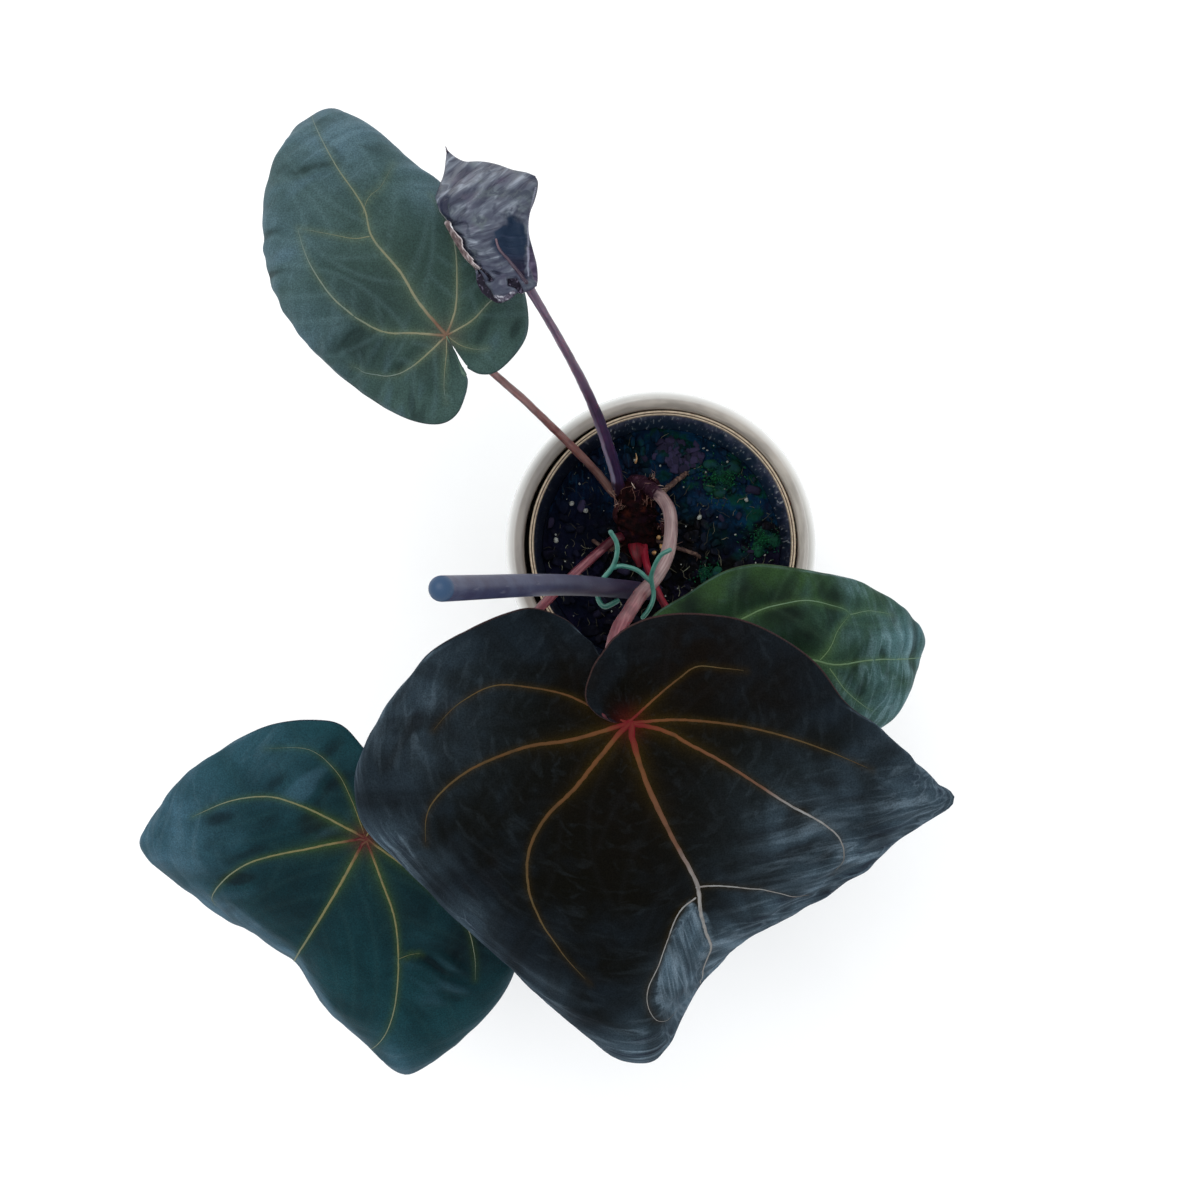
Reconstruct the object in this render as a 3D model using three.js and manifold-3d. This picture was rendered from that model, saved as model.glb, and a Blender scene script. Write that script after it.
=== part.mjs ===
// A potted anthurium hybrid: five heart-shaped leaves on long petioles, rooted in a nursery pot that
// stands inside a glazed cover pot, with a leaning plant stake and a spring clip.
// Millimetres, +Z up. The origin is the centre of the cover pot's flat underside.
import * as THREE from 'three';
import { mergeVertices } from 'three/addons/utils/BufferGeometryUtils.js';
import Module from 'manifold-3d';

const wasm = await Module();
wasm.setup();

// Driving dimensions
const GAP = 0.3;
const LATHE_SIDES = 40;
// The pots' outlines are rows of radius and height, from the axis to the axis.
const COVER_POT = {
  floor: 6,
  outside: [[0, 0], [50, 0], [53, 1.5], [59, 30], [67, 82], [69.8, 114], [69.8, 123]],
  lip: [[68.6, 126.6], [66, 128], [63.1, 127.2], [61.7, 124.5]],
  inside: [[61.7, 110], [55, 40], [49, 10], [46, 6], [0, 6]],
};
const NURSERY_POT = {
  x: 0.7, y: 1, height: 118.7, footRadius: 43.5, rimRadius: 60, neckRadius: 55.8, wall: 1.6,
  bandHeight: 12, lipRound: 0.6, lipDepth: 2,
};
const DRAIN = { radius: 4, ringRadius: 30, count: 6, sides: 16 };
const SOIL = {
  top: 106, slopeX: 0.02, slopeY: -0.075, lump: 1.2, lumpX: 9, lumpY: 8, crumb: 0.8, crumbX: 4.1,
  crumbY: 5.3, mound: 3, moundSpread: 300, edgeDepth: 6, rings: 5,
};
const STEM = {
  radius: 9.5, flatness: 0.85, x: -9.5, y: 10,
  path: [[-9, -1, 90], [-9, 2, 100], [-10, 9, 107.5], [-11, 17, 110.5], [-12, 24, 111.5]],
};
const STAKE = {
  radius: 4, path: [[3.4, -20.3, 87], [-2, -20.5, 105], [-39, -18.5, 227], [-75.3, -20.8, 349]],
};
const CLIP = {
  halfWidth: 1,
  halfDepth: 1.3,
  leftArm: [
    [-23, 4, 176], [-20.5, -0.5, 175], [-20.5, -6, 173.5], [-22.5, -11, 171], [-25, -14, 169],
    [-27.2, -17, 168], [-28.4, -21, 168], [-27.7, -24.8, 168], [-25.5, -27, 168.5], [-23, -26.2, 169],
    [-20, -24.5, 169.5],
  ],
  arch: [
    [-22.5, -11, 171], [-19, -10, 171.5], [-15.5, -10.5, 172], [-11.5, -12, 172], [-8, -15, 171.8],
    [-5.8, -17, 171.5],
  ],
  rightArm: [
    [1.5, -3.5, 177.5], [-2, -5.5, 177], [-4.5, -9.5, 175], [-6, -14.5, 172.5], [-5.5, -18.5, 171.5],
    [-5, -21.5, 171], [-5.5, -25, 171], [-7.5, -29, 171], [-9.5, -31.5, 171],
  ],
};
const BLADE = { thickness: 1, rings: 5 };
// A margin hangs more steeply, and tucks back under the leaf, the further it drops below the joint.
const HANG = { from: 6, to: 24, tuckFrom: 12, tuck: 0.17 };
const PETIOLE = { sides: 7, steps: 15 };
const THIN = { sides: 10, steps: 8 };
const ROOT_SIDES = 7;
const ROOT_STEPS = 10;
// Sheath remains round the stem, each a foot-to-tip path with its half thickness and half width.
const SHEATHS = [
  {
    name: 'cataphyll_1', half: [0.6, 4],
    path: [[-20, 12, 106], [-21, 14, 112], [-20.5, 17, 118], [-18, 19, 123]],
  },
  {
    name: 'cataphyll_2', half: [0.6, 3],
    path: [[-3, 30, 105], [-2, 31, 111], [-3, 30, 116], [-5, 31, 121]],
  },
  { name: 'cataphyll_3', half: [0.6, 3.5], path: [[3, 8, 106], [4, 8, 111], [2.5, 9, 117], [0, 10, 121]] },
  {
    name: 'red_sheath', half: [2, 4.5], crimson: true,
    path: [[-12, -5, 106], [-12.5, -6.5, 111], [-13, -6.5, 116], [-12.5, -4.5, 121]],
  },
];
const ROOTS = [
  { radius: 1.3, path: [[-5, 22, 110], [2, 26, 111], [8, 31, 108], [12, 34, 105], [13, 36, 98]] },
  { radius: 1, path: [[-18, 1, 108], [-24, -1, 111], [-29, 2, 109], [-31, 4, 100]] },
  { radius: 1, path: [[-3, 4, 107], [4, 1, 109], [10, -1, 110.5], [16, -3, 109.5], [20, -5, 100]] },
];
// What lies on the soil: x, y and radius of each, how flat they are and how high their middles stand.
const PERLITE = {
  squash: 0.8,
  lift: 0.7,
  grains: [
    [-40.5, 20.5, 1.7], [-34, 17, 1.9], [-47.5, 3.5, 1.9], [-27, -21, 1.9], [18.5, 14, 1.8], [24, -20, 1.6],
    [40, 22, 1.5], [8, 46, 1.5],
  ],
};
const BEADS = { squash: 0.9, lift: 0.9, grains: [[-0.5, 4.5, 1.5], [-2.5, -2.5, 1.5], [0.8, 0.4, 1.5]] };
const MOSS = { squash: 0.25, lift: 0.3, grains: [[28, 32, 11], [47, 3.5, 8], [22, -12, 6]] };

const COLOURS = {
  glaze: 0xf2f1ee, cream: 0xc9b9a2, soil: 0x0b0d12, stem: 0x2a1416, stake: 0x4c5064, clip: 0x3f7f70,
  perlite: 0xd9dbd2, bead: 0xb98a3c, moss: 0x1c5230, husk: 0x5c4236, root: 0x8c7468, crimson: 0x8a1226,
};

// Outline rows run anticlockwise from one side of the sinus to the other. Each row holds how far the
// edge lies to the right of the petiole joint, how far beyond it, and how far the margin hangs below it.
const LEAVES = {
  upper_left: {
    colour: 0x375050, joint: [-85, 75, 235], spokes: 26, petiole: { radius: 1.9, colour: 0x73504c },
    path: [[-14, 20, 108], [-22.5, 23.5, 112], [-26.5, 27.5, 118], [-30.5, 31.5, 126], [-38.5, 42.5, 146],
      [-50, 54, 176], [-67, 65, 207], [-78, 71.5, 225], [-86, 76, 233.8]],
    outline: [
      [8, -12, 0], [12, -14, 2], [18, -13, 4], [29, 0, 8], [30, 12, 10], [25, 28, 14], [8, 50, 18],
      [-16, 70, 22], [-38, 88, 28], [-52, 92, 34], [-63, 81, 28], [-70, 63, 24], [-71, 32, 20],
      [-60, 6, 16], [-36, -18, 12], [-13, -31, 8], [-2, -32, 6], [4, -28, 4], [8, -16, 1], [6, -12, 0],
    ],
  },
  new: {
    colour: 0x4b4a5c, joint: [-54, 90, 262], spokes: 22, petiole: { radius: 2.4, colour: 0x4b3c55 },
    path: [[-13, 19, 110], [-18, 25, 114], [-21.5, 37, 132], [-25, 45, 150], [-33.5, 63, 190],
      [-42.5, 77, 224], [-50, 85.5, 248], [-54.5, 91, 260.8]],
    outline: [
      [2, -3, 1], [4, 0, 2], [4, 6, 3], [2, 13, 4], [0, 19, 5], [1, 26, 7], [3, 32, 10], [4, 38, 14],
      [0, 43, 17], [-11, 48, 26], [-22, 50, 32], [-31, 56, 40], [-32, 47, 30], [-34, 34, 21], [-32, 29, 19],
      [-26, 19, 16], [-21, 13, 14], [-17, 1, 12], [-12, -4, 9], [-6, -6, 6], [-3, -3, 1],
    ],
  },
  centre: {
    colour: 0x1c1d22, joint: [-17.4, -68.2, 262], spokes: 40, petiole: { radius: 3.1, colour: 0xa0707c },
    path: [[-12, 25, 110.5], [-12, 30, 113], [-6, 27.5, 117], [-1, 23, 122], [3, 17, 127], [4, 10.5, 132],
      [3.5, 2.5, 139], [1, -6.5, 148], [-2.5, -13, 156], [-7, -18.5, 163.5], [-11, -22.5, 170.5],
      [-15, -28.5, 180], [-18.5, -33.5, 190], [-21, -38.5, 202], [-23, -47, 222], [-21, -59, 243],
      [-17.4, -70, 260.8]],
    outline: [
      [-10.5, 21, 0], [-17, 32, -1], [-22, 37, 0], [-34, 41, 2], [-44, 39, 4], [-58, 33, 8], [-73, 24, 14],
      [-85, 8, 20], [-94, -7, 26], [-100, -22, 32], [-98, -40, 40], [-76, -64, 50], [-43, -97, 58],
      [-13, -125, 66], [-1, -133, 70], [10, -135, 74], [16, -130, 80], [21, -120, 88], [32, -104, 100],
      [44, -91, 92], [60, -80, 76], [84, -63, 54], [102, -45, 42], [119, -29, 30], [112, -24, 26],
      [94, -3, 16], [81, 5, 12], [68, 21, 6], [54, 31, 3], [40, 37, 0], [25, 39, -3], [14, 39, -5],
      [3, 35, -6], [-5, 29, -6], [-8, 22, -5],
    ],
  },
  right: {
    colour: 0x44613f, joint: [12.2, -43.6, 192], spokes: 26, petiole: { radius: 1.6, colour: 0x8f1f35 },
    path: [[-8, 6, 108], [-7.5, 2, 112], [-7, -2.5, 115], [-6, -9.5, 122], [-3, -17.5, 133], [0, -25, 144],
      [6.5, -36, 167], [13.5, -43.6, 190.8]],
    outline: [
      [-12, -3.5, 1], [-20, -12, 2], [-17, -23, 4], [-3, -37, 8], [18, -45, 12], [39, -48, 16],
      [62, -42, 18], [79, -30, 20], [89, -17, 24], [96, 1, 30], [86, 15, 22], [77, 22, 18], [63, 28, 14],
      [49, 31, 12], [38, 33, 10], [23, 34, 8], [11, 31, 6], [-4, 22, 4], [-18, 13, 3], [-21, 7, 2],
      [-19, 1, 2], [-12, -1, 1],
    ],
  },
  lower_left: {
    colour: 0x2a4347, joint: [-120, -118.3, 205], spokes: 34, petiole: { radius: 2.1, colour: 0x96505f },
    path: [[-12, 6, 107], [-18, 4.5, 114], [-21.5, 3, 117], [-30, -4.5, 127], [-36.5, -10.5, 136],
      [-45, -19, 147], [-52, -26.5, 157], [-69, -47, 177], [-88, -72, 192], [-107, -99, 200],
      [-121, -119.5, 203.8]],
    outline: [
      [8, 16, 0], [10, 25, 1], [0, 34, 2], [-10, 44, 4], [-20, 46, 6], [-39, 44, 10], [-53, 38, 14],
      [-67, 29, 18], [-80, 17, 24], [-91, 3, 32], [-97, -7, 40], [-86, -23, 66], [-67, -40, 90],
      [-54, -48, 96], [-39, -58, 90], [-21, -78, 66], [-9, -88, 56], [12, -102, 44], [24, -96, 40],
      [46, -75, 30], [57, -55, 24], [57, -40, 18], [52, -23, 12], [42, -6, 8], [29, 8, 4], [19, 17, 2],
      [12, 14, 0],
    ],
  },
};

function toSolid(geometry) {
  const bare = geometry.clone();
  bare.deleteAttribute('normal');
  bare.deleteAttribute('uv');
  const merged = mergeVertices(bare, 1e-4);
  const vertProperties = new Float32Array(merged.attributes.position.array);
  const triVerts = new Uint32Array(merged.index.array);
  return new wasm.Manifold(new wasm.Mesh({ numProp: 3, vertProperties, triVerts }));
}

function toGeometry(solid) {
  const { vertProperties, triVerts } = solid.getMesh();
  const geometry = new THREE.BufferGeometry();
  geometry.setAttribute('position', new THREE.BufferAttribute(new Float32Array(vertProperties), 3));
  geometry.setIndex(new THREE.BufferAttribute(new Uint32Array(triVerts), 1));
  geometry.computeVertexNormals();
  return geometry;
}

// The solid less its neighbours' clearances, without the crumbs that such a cut can leave.
function trim(solid, clearances) {
  let rest = solid;
  for (const clearance of clearances) {
    rest = rest.subtract(clearance);
  }
  const pieces = rest.decompose();
  pieces.sort((a, b) => b.volume() - a.volume());
  return pieces[0];
}

function vectors(points) {
  return points.map((point) => new THREE.Vector3(...point));
}

function oval(radiusX, radiusY, sides) {
  return new THREE.EllipseCurve(0, 0, radiusX, radiusY).getPoints(sides).slice(0, -1);
}

// A tube of oval section along a smooth curve. widthAt gives its width, from share 0 at its foot to 1.
function sweep(points, section, steps, widthAt) {
  const path = new THREE.CatmullRomCurve3(vectors(points));
  const shape = new THREE.Shape(section);
  const geometry = new THREE.ExtrudeGeometry(shape, { steps, bevelEnabled: false, extrudePath: path });
  const centres = path.getSpacedPoints(steps);
  const position = geometry.attributes.position;
  const vertex = new THREE.Vector3();
  for (let i = 0; i < position.count; i++) {
    vertex.fromBufferAttribute(position, i);
    let nearest = 0;
    for (let ring = 1; ring <= steps; ring++) {
      if (vertex.distanceTo(centres[ring]) < vertex.distanceTo(centres[nearest])) {
        nearest = ring;
      }
    }
    vertex.sub(centres[nearest]).multiplyScalar(widthAt(nearest / steps)).add(centres[nearest]);
    position.setXYZ(i, vertex.x, vertex.y, vertex.z);
  }
  return toSolid(geometry);
}

function lengthened(points) {
  const path = vectors(points);
  const last = path.length - 1;
  const foot = path[0].clone().sub(path[1]).setLength(GAP).add(path[0]);
  const end = path[last].clone().sub(path[last - 1]).setLength(GAP).add(path[last]);
  return [foot, ...path.slice(1, last), end];
}

// A swept piece together with the fatter, longer copy of it that cuts its neighbours.
function sweptPair(points, radiusX, radiusY, sides, steps, widthAt = () => 1) {
  const body = sweep(points, oval(radiusX, radiusY, sides), steps, widthAt);
  const clearance = sweep(lengthened(points), oval(radiusX + GAP, radiusY + GAP, sides), steps, widthAt);
  return { body, clearance };
}

// One point of a blade: share runs from 0 at the petiole joint to 1 at the margin. The blade arches up a
// little from the joint, then turns down. The curve's widest point lies on the outline.
function spokePoint(joint, row, share) {
  const { lerp, smoothstep } = THREE.MathUtils;
  const reach = Math.hypot(row.x, row.y);
  const drop = row.z;
  const tuck = HANG.tuck * Math.max(0, drop - HANG.tuckFrom);
  const hang = smoothstep(drop, HANG.from, HANG.to);
  const handles = [
    new THREE.Vector2(0, 0),
    new THREE.Vector2(0.42 * reach, 0.05 * reach),
    new THREE.Vector2(lerp(0.75, 1.08, hang) * reach, -lerp(0.35, 0.12, hang) * drop),
    new THREE.Vector2(reach - tuck, -drop),
  ];
  const curve = new THREE.CubicBezierCurve(...handles);
  const widest = Math.max(...curve.getPoints(40).map((point) => point.x));
  const point = curve.getPoint(share);
  const out = point.x / widest;
  return new THREE.Vector3(joint[0] + row.x * out, joint[1] + row.y * out, joint[2] + point.y);
}

// The blade as a closed sheet: an upper and a lower skin of spokes, with a wall along its whole outline.
function bladeSolid(leaf, clearance) {
  const rim = new THREE.CatmullRomCurve3(vectors(leaf.outline)).getSpacedPoints(leaf.spokes);
  const { rings, thickness } = BLADE;
  const grid = rim.map((row) => {
    const spoke = [];
    for (let ring = 0; ring <= rings; ring++) {
      spoke.push(spokePoint(leaf.joint, row, ring / rings));
    }
    return spoke;
  });
  const last = rim.length - 1;
  const positions = [];
  const addSkins = (point, normal) => {
    const upper = point.clone().addScaledVector(normal, clearance);
    const lower = point.clone().addScaledVector(normal, -thickness - clearance);
    positions.push(upper.x, upper.y, upper.z, lower.x, lower.y, lower.z);
  };
  const jointNormal = new THREE.Vector3(0, 0, 1);
  addSkins(grid[0][0], jointNormal);
  for (let s = 0; s <= last; s++) {
    for (let ring = 1; ring <= rings; ring++) {
      const along = grid[s][Math.min(ring + 1, rings)].clone().sub(grid[s][ring - 1]);
      const across = grid[Math.min(s + 1, last)][ring].clone().sub(grid[Math.max(s - 1, 0)][ring]);
      const normal = new THREE.Vector3().crossVectors(along, across).normalize();
      addSkins(grid[s][ring], normal);
    }
  }
  const upper = (s, ring) => (ring === 0 ? 0 : 2 * (1 + s * rings + ring - 1));
  const lower = (s, ring) => upper(s, ring) + 1;
  const faces = [];
  for (let s = 0; s < last; s++) {
    faces.push(upper(s, 0), upper(s, 1), upper(s + 1, 1));
    faces.push(lower(s, 0), lower(s + 1, 1), lower(s, 1));
    for (let ring = 1; ring < rings; ring++) {
      faces.push(upper(s, ring), upper(s, ring + 1), upper(s + 1, ring + 1));
      faces.push(upper(s, ring), upper(s + 1, ring + 1), upper(s + 1, ring));
      faces.push(lower(s, ring), lower(s + 1, ring + 1), lower(s, ring + 1));
      faces.push(lower(s, ring), lower(s + 1, ring), lower(s + 1, ring + 1));
    }
  }
  const edge = [];
  for (let ring = 0; ring <= rings; ring++) {
    edge.push([0, ring]);
  }
  for (let s = 1; s <= last; s++) {
    edge.push([s, rings]);
  }
  for (let ring = rings - 1; ring >= 1; ring--) {
    edge.push([last, ring]);
  }
  edge.forEach(([s, ring], i) => {
    const [nextS, nextRing] = edge[(i + 1) % edge.length];
    faces.push(upper(s, ring), lower(s, ring), lower(nextS, nextRing));
    faces.push(upper(s, ring), lower(nextS, nextRing), upper(nextS, nextRing));
  });
  const geometry = new THREE.BufferGeometry();
  geometry.setAttribute('position', new THREE.Float32BufferAttribute(positions, 3));
  geometry.setIndex(faces);
  return toSolid(geometry);
}

// A copy of the blade that is fatter by the gap on every side, to cut its petiole's end.
function bladeClearance(leaf) {
  const fat = bladeSolid(leaf, GAP);
  let clearance = fat;
  for (const [x, y] of [[GAP, 0], [-GAP, 0], [0, GAP], [0, -GAP]]) {
    clearance = clearance.add(fat.translate([x, y, 0]));
  }
  return clearance;
}

function latheSolid(profile, sides = LATHE_SIDES) {
  const geometry = new THREE.LatheGeometry(profile.map(([r, z]) => new THREE.Vector2(r, z)), sides);
  geometry.rotateX(Math.PI / 2);
  return toSolid(geometry);
}

function nurseryWallInside(z) {
  const { height, footRadius, neckRadius, wall, bandHeight } = NURSERY_POT;
  const foot = COVER_POT.floor + GAP + wall;
  const shoulder = COVER_POT.floor + GAP + height - bandHeight;
  return THREE.MathUtils.mapLinear(z, foot, shoulder, footRadius - wall, neckRadius);
}

// A thin grow pot with a band below its rim and round drainage holes in its floor.
function nurseryPotSolid() {
  const { height, footRadius, rimRadius, neckRadius, wall, bandHeight, lipRound, lipDepth } = NURSERY_POT;
  const foot = COVER_POT.floor + GAP;
  const rim = foot + height;
  const shoulder = rim - bandHeight;
  let pot = latheSolid([
    [0, foot], [footRadius, foot], [neckRadius + wall, shoulder - wall / 2],
    [rimRadius - lipRound, shoulder], [rimRadius, rim - lipDepth], [rimRadius - lipRound, rim],
    [rimRadius - 2 * lipRound, rim], [rimRadius - 3 * lipRound, rim - lipDepth],
    [neckRadius + lipRound, shoulder + wall], [neckRadius, shoulder], [footRadius - wall, foot + wall],
    [0, foot + wall],
  ]);
  for (let i = 0; i < DRAIN.count; i++) {
    const angle = (2 * Math.PI * i) / DRAIN.count;
    const drill = new THREE.CylinderGeometry(DRAIN.radius, DRAIN.radius, 4 * wall, DRAIN.sides);
    drill.rotateX(Math.PI / 2);
    drill.translate(DRAIN.ringRadius, 0, foot + wall / 2);
    drill.rotateZ(angle);
    pot = pot.subtract(toSolid(drill));
  }
  return pot.translate([NURSERY_POT.x, NURSERY_POT.y, 0]);
}

function soilHeight(x, y) {
  const lumps = SOIL.lump * Math.sin(x / SOIL.lumpX + 1.3) * Math.cos(y / SOIL.lumpY);
  const crumbs = SOIL.crumb * Math.sin(x / SOIL.crumbX + y / SOIL.crumbY);
  const mound = SOIL.mound * Math.exp(-((x - STEM.x) ** 2 + (y - STEM.y) ** 2) / SOIL.moundSpread);
  return SOIL.top + SOIL.slopeX * x + SOIL.slopeY * y + lumps + crumbs + mound;
}

// The soil plug: it fills the nursery pot up to a lumpy, sloping surface, raised by lift.
function soilSolid(lift) {
  const foot = COVER_POT.floor + 2 * GAP + NURSERY_POT.wall;
  const profile = [[0, foot], [nurseryWallInside(foot) - GAP, foot]];
  const topRadius = nurseryWallInside(SOIL.top - SOIL.edgeDepth) - GAP;
  for (let ring = SOIL.rings; ring >= 0; ring--) {
    profile.push([(topRadius * ring) / SOIL.rings, SOIL.top]);
  }
  const geometry = new THREE.LatheGeometry(profile.map(([r, z]) => new THREE.Vector2(r, z)), LATHE_SIDES);
  geometry.rotateX(Math.PI / 2);
  geometry.translate(NURSERY_POT.x, NURSERY_POT.y, 0);
  const position = geometry.attributes.position;
  for (let i = 0; i < position.count; i++) {
    if (position.getZ(i) > SOIL.top - 1) {
      position.setZ(i, soilHeight(position.getX(i), position.getY(i)) + lift);
    }
  }
  return toSolid(geometry);
}

// A lump that lies on the soil: a faceted ball, flattened by squash, with its middle lift above the soil.
function lumpSolid([x, y, radius], { squash, lift }) {
  const large = radius > 4;
  const ball = new THREE.IcosahedronGeometry(radius, large ? 1 : 0);
  ball.scale(1, 0.8, squash);
  ball.rotateZ(x + y);
  ball.translate(x, y, soilHeight(x, y) + lift);
  return toSolid(ball);
}

// Two bent arms, which end in ears, joined by an arch.
function clipSolid() {
  const section = oval(CLIP.halfWidth, CLIP.halfDepth, 6);
  const even = () => 1;
  return sweep(CLIP.leftArm, section, 22, even)
    .add(sweep(CLIP.arch, section, 12, even))
    .add(sweep(CLIP.rightArm, section, 18, even));
}

const plant = new THREE.Group();

function addPiece(name, solid, colour, roughness) {
  const material = new THREE.MeshStandardMaterial({ color: colour, roughness, metalness: 0 });
  const piece = new THREE.Mesh(toGeometry(solid), material);
  piece.name = name;
  plant.add(piece);
}

// Widths along a petiole: a broad sheath at its foot and a slightly swollen joint below the blade.
function petioleWidth(share) {
  const sheath = 0.35 * Math.exp(-share * 12);
  const knuckle = 0.15 * Math.exp(-(1 - share) * 16);
  return 1 + sheath + knuckle;
}

function pointedWidth(share) {
  return 0.25 + 0.75 * Math.sin(Math.PI * Math.min(1, 0.25 + share * 0.72));
}

const coverPotOutline = [...COVER_POT.outside, ...COVER_POT.lip, ...COVER_POT.inside];
addPiece('outer_pot', latheSolid(coverPotOutline), COLOURS.glaze, 0.15);
addPiece('nursery_pot', nurseryPotSolid(), COLOURS.cream, 0.5);

const stemWidth = (share) => 0.8 + 0.35 * Math.sin(Math.PI * share * 0.9);
const stem = sweptPair(STEM.path, STEM.radius, STEM.radius * STEM.flatness, 12, 8, stemWidth);
const stake = sweptPair(STAKE.path, STAKE.radius, STAKE.radius, 12, 10);
addPiece('stem', stem.body, COLOURS.stem, 0.7);
addPiece('stake', stake.body, COLOURS.stake, 0.4);
addPiece('plant_clip', clipSolid(), COLOURS.clip, 0.35);

const crown = [stem.clearance];
const soilCutters = [stem.clearance, stake.clearance];
for (const [name, leaf] of Object.entries(LEAVES)) {
  const { radius, colour } = leaf.petiole;
  const petiole = sweptPair(leaf.path, radius, radius, PETIOLE.sides, PETIOLE.steps, petioleWidth);
  addPiece(`petiole_${name}`, trim(petiole.body, [...crown, bladeClearance(leaf)]), colour, 0.45);
  addPiece(`leaf_${name}`, bladeSolid(leaf, 0), leaf.colour, name === 'new' ? 0.25 : 0.6);
  crown.push(petiole.clearance);
  soilCutters.push(petiole.clearance);
}

for (const { name, half, path, crimson } of SHEATHS) {
  const sheath = sweptPair(path, half[0], half[1], THIN.sides, THIN.steps, pointedWidth);
  const colour = crimson ? COLOURS.crimson : COLOURS.husk;
  addPiece(name, trim(sheath.body, [...crown, soilSolid(GAP)]), colour, crimson ? 0.4 : 0.8);
  crown.push(sheath.clearance);
}

ROOTS.forEach(({ radius, path }, i) => {
  const root = sweptPair(path, radius, radius, ROOT_SIDES, ROOT_STEPS);
  addPiece(`aerial_root_${i + 1}`, trim(root.body, crown), COLOURS.root, 0.7);
  crown.push(root.clearance);
  soilCutters.push(root.clearance);
});

addPiece('substrate', trim(soilSolid(0), soilCutters), COLOURS.soil, 0.95);

function addGrains(name, kind, colour, roughness) {
  kind.grains.forEach((grain, i) => {
    const lump = trim(lumpSolid(grain, kind), [soilSolid(GAP), ...crown]);
    addPiece(`${name}_${i + 1}`, lump, colour, roughness);
  });
}

addGrains('perlite', PERLITE, COLOURS.perlite, 0.9);
addGrains('fertiliser_bead', BEADS, COLOURS.bead, 0.35);
addGrains('moss_patch', MOSS, COLOURS.moss, 1);

export default plant;
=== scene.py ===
import math
import random

import bpy
import numpy as np
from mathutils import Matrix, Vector, noise
from mathutils.kdtree import KDTree


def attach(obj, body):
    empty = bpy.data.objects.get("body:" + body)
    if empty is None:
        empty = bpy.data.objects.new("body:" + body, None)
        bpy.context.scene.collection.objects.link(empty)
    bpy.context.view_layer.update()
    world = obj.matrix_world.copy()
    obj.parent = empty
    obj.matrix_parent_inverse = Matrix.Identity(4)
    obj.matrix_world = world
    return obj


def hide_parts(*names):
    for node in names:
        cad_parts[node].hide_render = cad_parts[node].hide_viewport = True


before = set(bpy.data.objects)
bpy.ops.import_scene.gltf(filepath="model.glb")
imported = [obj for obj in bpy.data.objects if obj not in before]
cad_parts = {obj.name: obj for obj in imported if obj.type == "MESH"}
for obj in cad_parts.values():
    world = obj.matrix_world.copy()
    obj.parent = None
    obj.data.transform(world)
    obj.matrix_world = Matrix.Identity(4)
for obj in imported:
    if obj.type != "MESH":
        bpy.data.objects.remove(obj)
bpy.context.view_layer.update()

MM = 0.001
UP = np.array([0.0, 0.0, 1.0])

# The camera hangs over the plant and looks straight down.
CAMERA = {"place": (-27.4, -24.2, 798), "lens": 45, "sensor": 36}

# How a blade hangs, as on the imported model.
HANG = {"from": 6, "to": 24, "tuck_from": 12, "tuck": 0.17}
BLADE_THICKNESS = 0.6
NEW_BLADE_THICKNESS = 0.5
# Side veins grow in strides on a map of cells that shows which vein was there first.
TWIG = {"stride": 1.3, "cell": 2.4, "longest": 60, "shortest": 5}
# Steps along a main vein, and how deep and high the round knob at the joint reaches.
RIB = {"steps": 72, "knob_depth": 4.5, "knob_rise": 0.35}
# A fan of straight grain that no blade reaches, and a slanted grain in no place.
NO_FAN = (500, 1, 1.0)
NO_SLANT = (0, [])

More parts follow.
